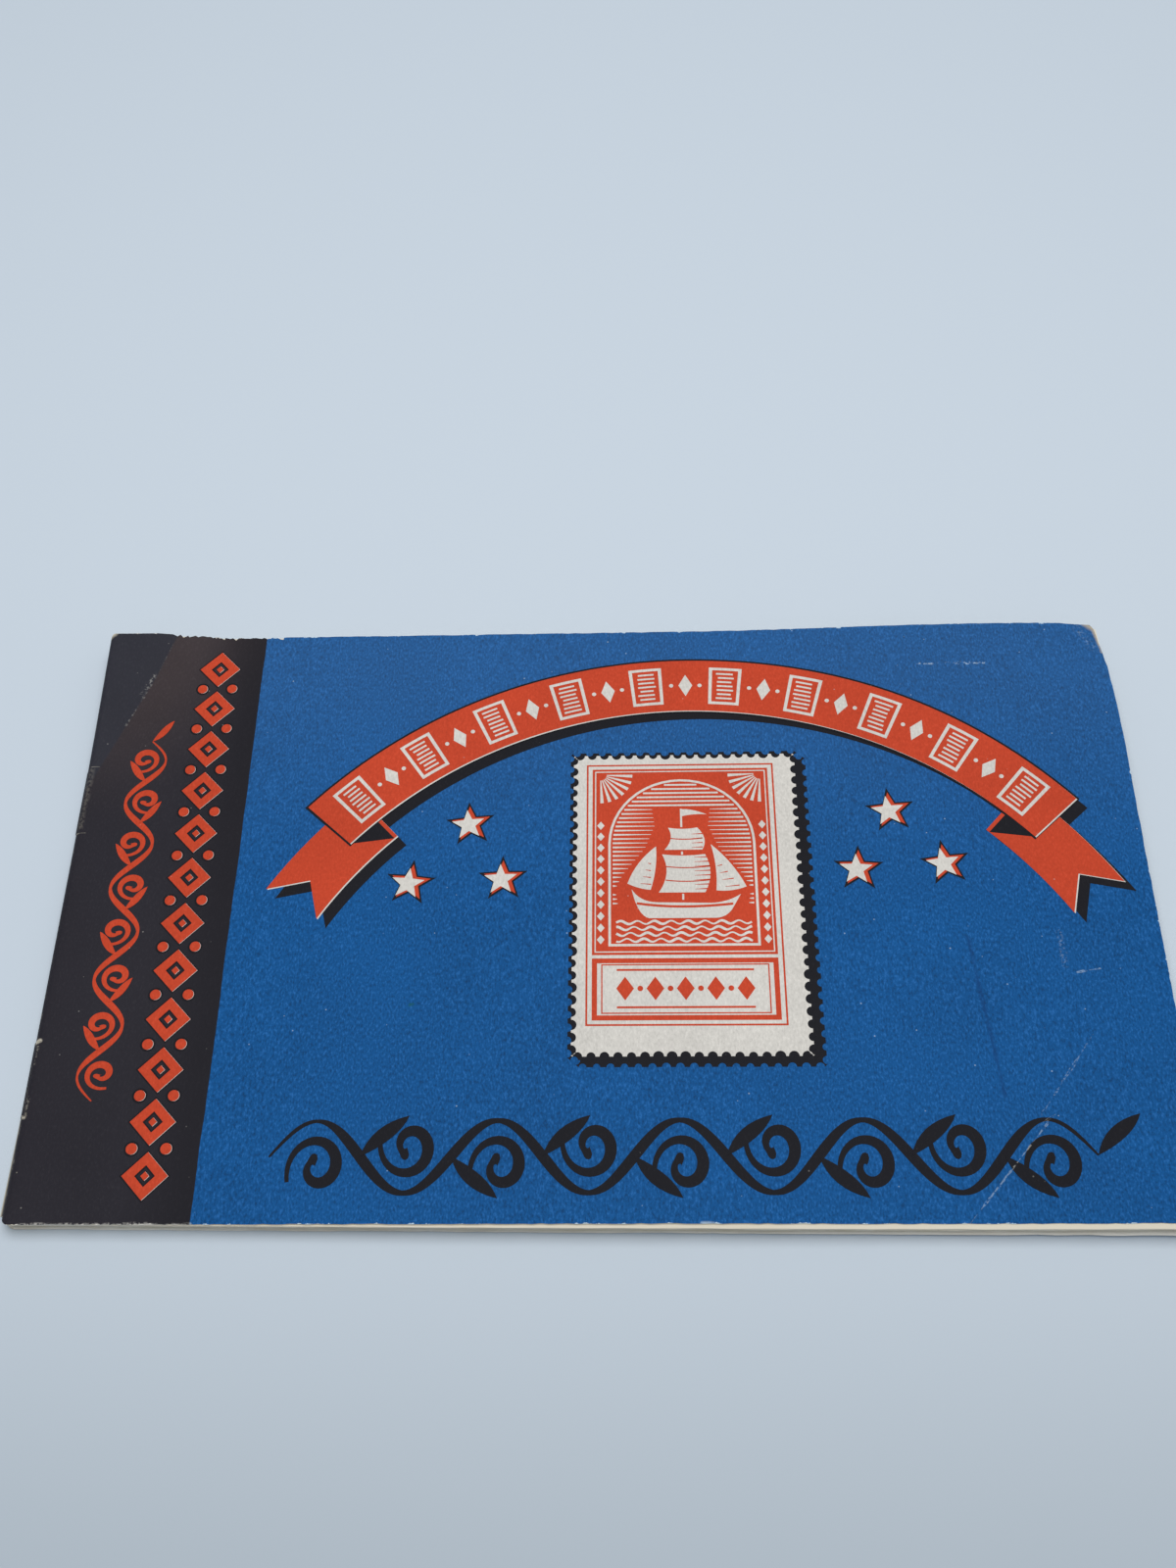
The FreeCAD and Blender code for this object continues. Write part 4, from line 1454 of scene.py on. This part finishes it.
# %% [markdown]
# The second column on the band is a bold row of lozenges with beads between them. The red was printed over
# a slightly wider black, which shows as a dark line round each shape.

# %% Draw and print the row of lozenges
COLUMN_X = -82.4
LOZENGE_PITCH = 10.0
LOZENGE_PLACES = [-54.0 + LOZENGE_PITCH * index for index in range(12)]


def lozenge_row(extra):
    """The lozenges and beads of the row, each wider by a margin."""
    shapes = []
    for y in LOZENGE_PLACES:
        shapes.append([lozenge(COLUMN_X, y, 4.3 + extra, 4.4 + extra),
                       lozenge(COLUMN_X, y, 1.9 - extra, 2.0 - extra)])
        shapes.append([lozenge(COLUMN_X, y, 0.8 + 0.4 * extra, 0.85 + 0.4 * extra)])
    for y in LOZENGE_PLACES[:-1]:
        shapes += [[disc(COLUMN_X + side, y + LOZENGE_PITCH / 2, 1.05 + extra)] for side in (-3.2, 3.2)]
    return shapes


lay_ink("band_lozenge_lines", lozenge_row(0.4), black_ink, 1)
slivers = [[moved(whole[0], 0.08, -0.03)] + smaller[1:]
           for whole, smaller in zip(lozenge_row(0.0), lozenge_row(-0.6))]
lay_ink("band_lozenge_slivers", slivers, white_ink, 2)
lay_ink("band_lozenges", lozenge_row(0.0), red_ink, 3)

# %% [markdown]
# ## Floor and light
# The album lies on a pale, cool table under broad, soft light from above and behind. A wide area lamp gives
# the soft shadow along the near edge, and an even sky fills the rest. The table's colour is painted darker
# towards the near side and a little darker far beyond the album, as painted shade.

# %% Floor, lamp and sky
FLOOR_GAP = 0.03 * MM
FLOOR_TONE = colour(206, 217, 228)
FLOOR_NEAR_SHADE = colour(180, 191, 201)
FLOOR_FAR_SHADE = colour(203, 214, 225)
LAMP_PLACE = (0.02, 0.2, 0.87)
LAMP_WIDTH = 0.9
LAMP_DEPTH = 0.7
LAMP_POWER = 5.9
SKY_TONE = (0.93, 0.97, 1.0, 1)
SKY_STRENGTH = 0.36


def make_floor_material():
    material, tree, shader = new_material("table_top", 0.2)
    place = place_in_mm(tree)
    along = add_node(tree, "ShaderNodeSeparateXYZ", Vector=place).outputs[1]
    # Painted shade: the table darkens towards the near side and a little far beyond the album.
    near = soft_step(tree, along, NEAR_Y / MM + 30, NEAR_Y / MM - 85)
    beyond = soft_step(tree, along, FAR_Y / MM, FAR_Y / MM + 240)
    base = mix_colour(tree, near, FLOOR_TONE, FLOOR_NEAR_SHADE)
    plug(tree, mix_colour(tree, beyond, base, FLOOR_FAR_SHADE), shader.inputs["Base Color"])
    shader.inputs["Roughness"].default_value = 0.6
    return material


bpy.ops.object.select_all(action="DESELECT")
bpy.ops.mesh.primitive_plane_add(size=4, location=(0, 0, -FLOOR_GAP))
floor = bpy.context.object
floor.name = "table"
dress(floor, make_floor_material())

bpy.ops.object.light_add(type="AREA", location=LAMP_PLACE)
lamp = bpy.context.object
lamp.data.shape = "RECTANGLE"
lamp.data.size = LAMP_WIDTH
lamp.data.size_y = LAMP_DEPTH
lamp.data.energy = LAMP_POWER
lamp.rotation_euler = Vector(LAMP_PLACE).to_track_quat("Z", "Y").to_euler()

sky = bpy.data.worlds.new("soft_sky")
sky.use_nodes = True
sky.node_tree.nodes["Background"].inputs["Color"].default_value = SKY_TONE
sky.node_tree.nodes["Background"].inputs["Strength"].default_value = SKY_STRENGTH
bpy.context.scene.world = sky
bpy.context.scene.view_settings.view_transform = "Standard"
print("floor, lamp and sky are set")
